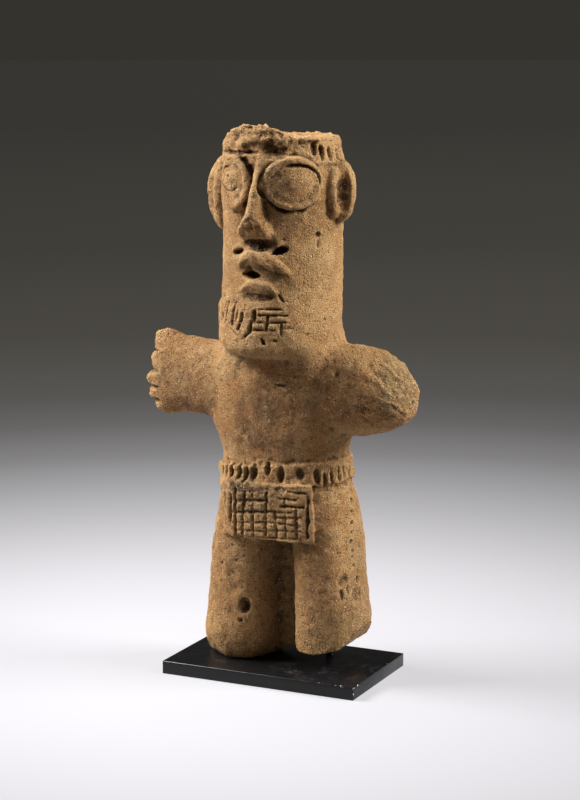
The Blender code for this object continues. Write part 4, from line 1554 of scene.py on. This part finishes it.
@dataclass(frozen=True)
class BlackPaint:
    """Satin black paint on metal, scuffed grey on top and chipped to white at the edges."""

    paint: Colour = (0.0030, 0.0030, 0.0034)
    scuff: Colour = (0.034, 0.033, 0.033)
    chip: Colour = (0.62, 0.60, 0.57)
    half: Point = (0.0705, 0.043, 0.009)
    knocked: Point = (0.069, -0.042, 0.007)

    def dress(self, body: bpy.types.Object) -> None:
        """Put the paint on the plate or its post."""
        r = Recipe("Black paint")
        parts = r.node("ShaderNodeSeparateXYZ", None, {0: r.place})
        x, y, z = (Wire(r, parts.outputs[k]) for k in range(3))
        side = x.size().rise(self.half[0] - 0.0011, self.half[0] - 0.0003)
        front = y.size().rise(self.half[1] - 0.0011, self.half[1] - 0.0003)
        top = z.rise(self.half[2] - 0.0011, self.half[2] - 0.0003)
        edge = (side * front).at_least(side * top).at_least(front * top)
        worn = r.cloud(3.4, 4, 0.7, (2, 1, 4))
        near = r.node("ShaderNodeVectorMath", {"operation": "DISTANCE"}, {0: r.place, 1: self.knocked})
        corner = Wire(r, near.outputs["Value"]).fall(0.004, 0.022)
        chips = edge * (worn + corner * 0.14).rise(0.675, 0.72)
        smear = r.cloud(16, 5, 0.72, (1, 1, 6))
        dust = r.cloud(1.6, 3, 0.8, (9, 1, 6))
        scuffs = smear.rise(0.50, 0.74) * dust.rise(0.40, 0.70)
        rub = z.rise(self.half[2] - 0.0006, self.half[2] - 0.0001)
        colour = r.mix(scuffs * rub * 0.85, self.paint, self.scuff)
        colour = r.mix(edge * worn.rise(0.45, 0.75) * 0.35, colour, self.scuff)
        colour = r.mix(chips, colour, self.chip)
        height = r.cloud(0.9, 2, 0.5) * 0.6 + scuffs * 0.3 - chips * 0.8
        r.finish(
            body,
            Base_Color=colour,
            Roughness=0.25 + scuffs * 0.30 + smear * 0.14,
            Specular_IOR_Level=0.32,
            Normal=r.relief(height, 0.05),
        )


@dataclass(frozen=True)
class PaleFloor:
    """Matt white sweep with a painted pool of light, glowing from the floor itself, that falls off into dark
    grey away from the object.
    """

    span: float = 7.0
    near_tint: Colour = (1.03, 1.01, 1.05)
    far_tint: Colour = (1.0, 0.93, 0.80)
    lit: float = 3.3
    share: float = 0.5
    # Distance from the middle in metres, and how light the floor is there
    stops: tuple[tuple[float, float], ...] = (
        (0.00, 0.96),
        (0.15, 0.92),
        (0.21, 0.87),
        (0.29, 0.78),
        (0.38, 0.655),
        (0.485, 0.51),
        (0.605, 0.365),
        (0.74, 0.225),
        (0.90, 0.135),
        (1.08, 0.095),
        (1.54, 0.070),
        (2.66, 0.053),
        (6.60, 0.040),
    )

    def dress(self, body: bpy.types.Object) -> None:
        """Put the matt surface on the floor, part lit by the lamps and part a painted pool of light that
        glows, lighter on one side and darker on the other.
        """
        r = Recipe("White sweep")
        away = r.node("ShaderNodeVectorMath", {"operation": "LENGTH"}, {0: r.place})
        radius = Wire(r, away.outputs["Value"])
        stops = [(distance / self.span, (shade, shade, shade)) for distance, shade in self.stops]
        ramp = r.node("ShaderNodeValToRGB", {"stops": stops}, {0: radius * (1 / self.span)})
        tint = r.mix(radius.rise(0.5, 1.6), self.near_tint, self.far_tint)
        shade = r.mix(1.0, Wire(r, ramp.outputs[0]), tint, "MULTIPLY")
        parts = r.node("ShaderNodeSeparateXYZ", None, {0: r.place})
        across = Wire(r, parts.outputs[0]) * 0.9 + Wire(r, parts.outputs[1]) * 0.43
        side = r.maths("DIVIDE", across, radius + 0.12)
        # Painted light and shade: near the object lighter on the left and darker on the right, far away the
        # other way round
        lean = 1.0 - side * radius.fall(0.5, 1.3) * 0.11 + side * radius.rise(1.0, 2.4) * 0.22
        shade = r.mix(1.0, shade, lean, "MULTIPLY")
        lamps = radius.fall(0.25, 0.85) * self.share
        base = r.mix(lamps * (1 / self.lit), (0.0, 0.0, 0.0), shade)
        # Painted pool of light: the rest of the floor's brightness glows from the floor itself
        pool = r.mix(lamps, shade, (0.0, 0.0, 0.0))
        r.finish(
            body,
            Base_Color=base,
            Roughness=0.95,
            Specular_IOR_Level=0.0,
            Emission_Color=pool,
            Emission_Strength=1.0,
        )


@dataclass
class Figurine:
    """The clay figure: its body, what is laid on it, and how it is worn."""

    trunk: Trunk = field(default_factory=Trunk)
    arms: Arms = field(default_factory=Arms)
    head: Head = field(default_factory=Head)
    cap: Cap = field(default_factory=Cap)
    belt: Belt = field(default_factory=Belt)
    apron: Apron = field(default_factory=Apron)
    weathering: Weathering = field(default_factory=Weathering)
    core_voxel: float = 1.5
    core_strokes: int = 30
    voxel: float = 0.85
    strokes: int = 8
    triangles: int = 192000

    def model(self) -> bpy.types.Object:
        """Model the figure in 360ths over the plate's top.

        Returns:
            The finished clay figure at the origin, in metres.
        """
        clay = Clay()
        masses = [*self.trunk.forms(clay), *self.head.core(clay), *self.arms.forms(clay)]
        core = clay.fuse(masses, "figurine_core", self.core_voxel, self.core_strokes)
        skin = Skin(core)
        self.trunk.press_groove(skin)
        skin.write()
        laid = [*self.head.forms(clay), *self.cap.forms(clay)]
        laid += [*self.belt.forms(clay, self.trunk), *self.apron.forms(clay, self.trunk)]
        body = clay.fuse([core, *laid], "priest_figurine", self.voxel, self.strokes)
        self.work(Skin(body))
        share = self.triangles / (2 * len(body.data.polygons))
        Bench.apply(body, "DECIMATE", ratio=min(1.0, share), use_collapse_triangulate=True)
        self.weathering.paint(body)
        body.data.transform(Matrix.Translation((0, 0, PLATE_TOP * UNIT)) @ Matrix.Scale(UNIT, 4))
        Bench.take(body)
        bpy.ops.object.shade_smooth()
        return body

    def work(self, skin: Skin) -> None:
        """Break, carve and wear the fused figure.

        Args:
            skin: Its skin.
        """
        self.cap.break_off(skin)
        skin.write()
        self.weathering.lump(skin)
        skin.write()
        for piece in (self.head, self.cap, self.belt, self.apron, self.arms, self.trunk):
            piece.carve(skin)
        skin.write()
        for piece in (self.arms, self.cap, self.head):
            piece.fracture(skin)
        self.weathering.pit(skin)
        skin.write()
        self.trunk.wear_soles(skin)
        skin.write()

    def build(self) -> bpy.types.Object:
        """Model and dress the figure and put it in place of its plain solid."""
        body = self.model()
        FiredClay().dress(body)
        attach(body, "root")
        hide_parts("figurine")
        return body


@dataclass
class Mount:
    """The flat display plate and the short post under the raised leg, in metres."""

    width: float = 0.141
    depth: float = 0.086
    thickness: float = 0.009
    bevel: float = 0.0006
    post_width: float = 0.0055
    post_height: float = 0.0112
    post_place: tuple[float, float] = (0.027, 0.017)
    gap: float = 0.0003

    def plate(self) -> bpy.types.Object:
        """Model the plate with softened edges."""
        Bench.clear()
        size = (self.width, self.depth, self.thickness)
        bpy.ops.mesh.primitive_cube_add(size=1, location=(0, 0, self.thickness / 2), scale=size)
        body = Bench.settle(bpy.context.object)
        body.name = body.data.name = "display_plate"
        bpy.ops.object.mode_set(mode="EDIT")
        bpy.ops.mesh.select_all(action="SELECT")
        bpy.ops.mesh.bevel(offset=self.bevel, segments=3, affect="EDGES")
        bpy.ops.object.mode_set(mode="OBJECT")
        bpy.ops.object.shade_smooth_by_angle(angle=math.radians(50))
        return body

    def post(self) -> bpy.types.Object:
        """Model the post, its rims just broken."""
        Bench.clear()
        tall = self.post_height - self.gap
        place = (*self.post_place, self.thickness + self.gap + tall / 2)
        bpy.ops.mesh.primitive_cylinder_add(
            vertices=48, radius=self.post_width / 2, depth=tall, location=place
        )
        body = Bench.settle(bpy.context.object)
        body.name = body.data.name = "plate_post"
        Bench.apply(body, "BEVEL", width=0.0002, segments=2, limit_method="ANGLE")
        Bench.take(body)
        bpy.ops.object.shade_smooth_by_angle(angle=math.radians(50))
        return body

    def build(self) -> list[bpy.types.Object]:
        """Model and dress both and put them in place of their plain solids."""
        pieces = [self.plate(), self.post()]
        for piece, node in zip(pieces, ("base_plate", "support_post")):
            BlackPaint().dress(piece)
            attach(piece, "root")
            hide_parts(node)
        return pieces


@dataclass
class Lamp:
    """A square soft lamp aimed at a height over the plate."""

    name: str
    azimuth: float
    elevation: float
    away: float
    size: float
    power: float
    aim: float = 0.18

    def hang(self) -> bpy.types.Object:
        """Hang the lamp."""
        turn, lift = math.radians(self.azimuth), math.radians(self.elevation)
        way = Vector((math.sin(turn) * math.cos(lift), -math.cos(turn) * math.cos(lift), math.sin(lift)))
        light = bpy.data.lights.new(self.name, "AREA")
        light.size, light.energy = self.size, self.power
        body = bpy.data.objects.new(self.name, light)
        body.location = way * self.away + Vector((0, 0, self.aim))
        body.rotation_euler = way.to_track_quat("Z", "Y").to_euler()
        bpy.context.scene.collection.objects.link(body)
        return body


@dataclass
class Studio:
    """Floor, lamps and the photograph's camera."""

    floor_size: float = 30.0
    world: Colour = (0.036, 0.033, 0.028)
    lamps: tuple[Lamp, ...] = (
        Lamp("Left lamp", -73, 36, 1.5, 0.75, 82, aim=0.28),
        Lamp("Right lamp", 107, 30, 1.6, 0.75, 62, aim=0.24),
        Lamp("Top lamp", 60, 74, 1.5, 1.0, 6),
    )
    azimuth: float = 25.41
    pan: float = -0.17
    pitch: float = 10.27
    distance: float = 1.457
    height: float = 0.4506
    lens: float = 100.0

    def floor(self) -> bpy.types.Object:
        """Lay the sweep that the object stands on."""
        Bench.clear()
        bpy.ops.mesh.primitive_circle_add(
            vertices=96, radius=self.floor_size / 2, fill_type="NGON", location=(0, 0, 0)
        )
        body = bpy.context.object
        body.name = body.data.name = "studio_floor"
        PaleFloor().dress(body)
        return body

    def camera(self) -> bpy.types.Object:
        """Set up the camera where the photograph was taken from."""
        lens = bpy.data.cameras.new("Camera")
        lens.lens, lens.sensor_fit, lens.sensor_height = self.lens, "VERTICAL", 36
        body = bpy.data.objects.new("Camera", lens)
        turn = math.radians(self.azimuth)
        body.location = (self.distance * math.sin(turn), -self.distance * math.cos(turn), self.height)
        body.rotation_euler = (math.radians(90 - self.pitch), 0, math.radians(self.azimuth + self.pan))
        bpy.context.scene.collection.objects.link(body)
        bpy.context.scene.camera = body
        return body

    def build(self) -> None:
        """Set up floor, lamps, surroundings and camera."""
        self.floor()
        for lamp in self.lamps:
            lamp.hang()
        world = bpy.data.worlds.new("Studio")
        world.use_nodes = True
        world.node_tree.nodes["Background"].inputs[0].default_value = (*self.world, 1)
        bpy.context.scene.world = world
        self.camera()
        view = bpy.context.scene.view_settings
        view.view_transform, view.look, view.exposure, view.gamma = "Standard", "None", 0, 1


def main() -> None:
    """Build the figure, its mount and the studio, and note the sizes."""
    logging.basicConfig(level=logging.INFO, format="%(message)s")
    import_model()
    figure = Figurine().build()
    log.info("%s: %d triangles", figure.name, len(figure.data.polygons))
    for piece in Mount().build():
        log.info("%s: %d faces", piece.name, len(piece.data.polygons))
    Studio().build()
    log.info("studio ready")


if __name__ == "__main__":
    main()
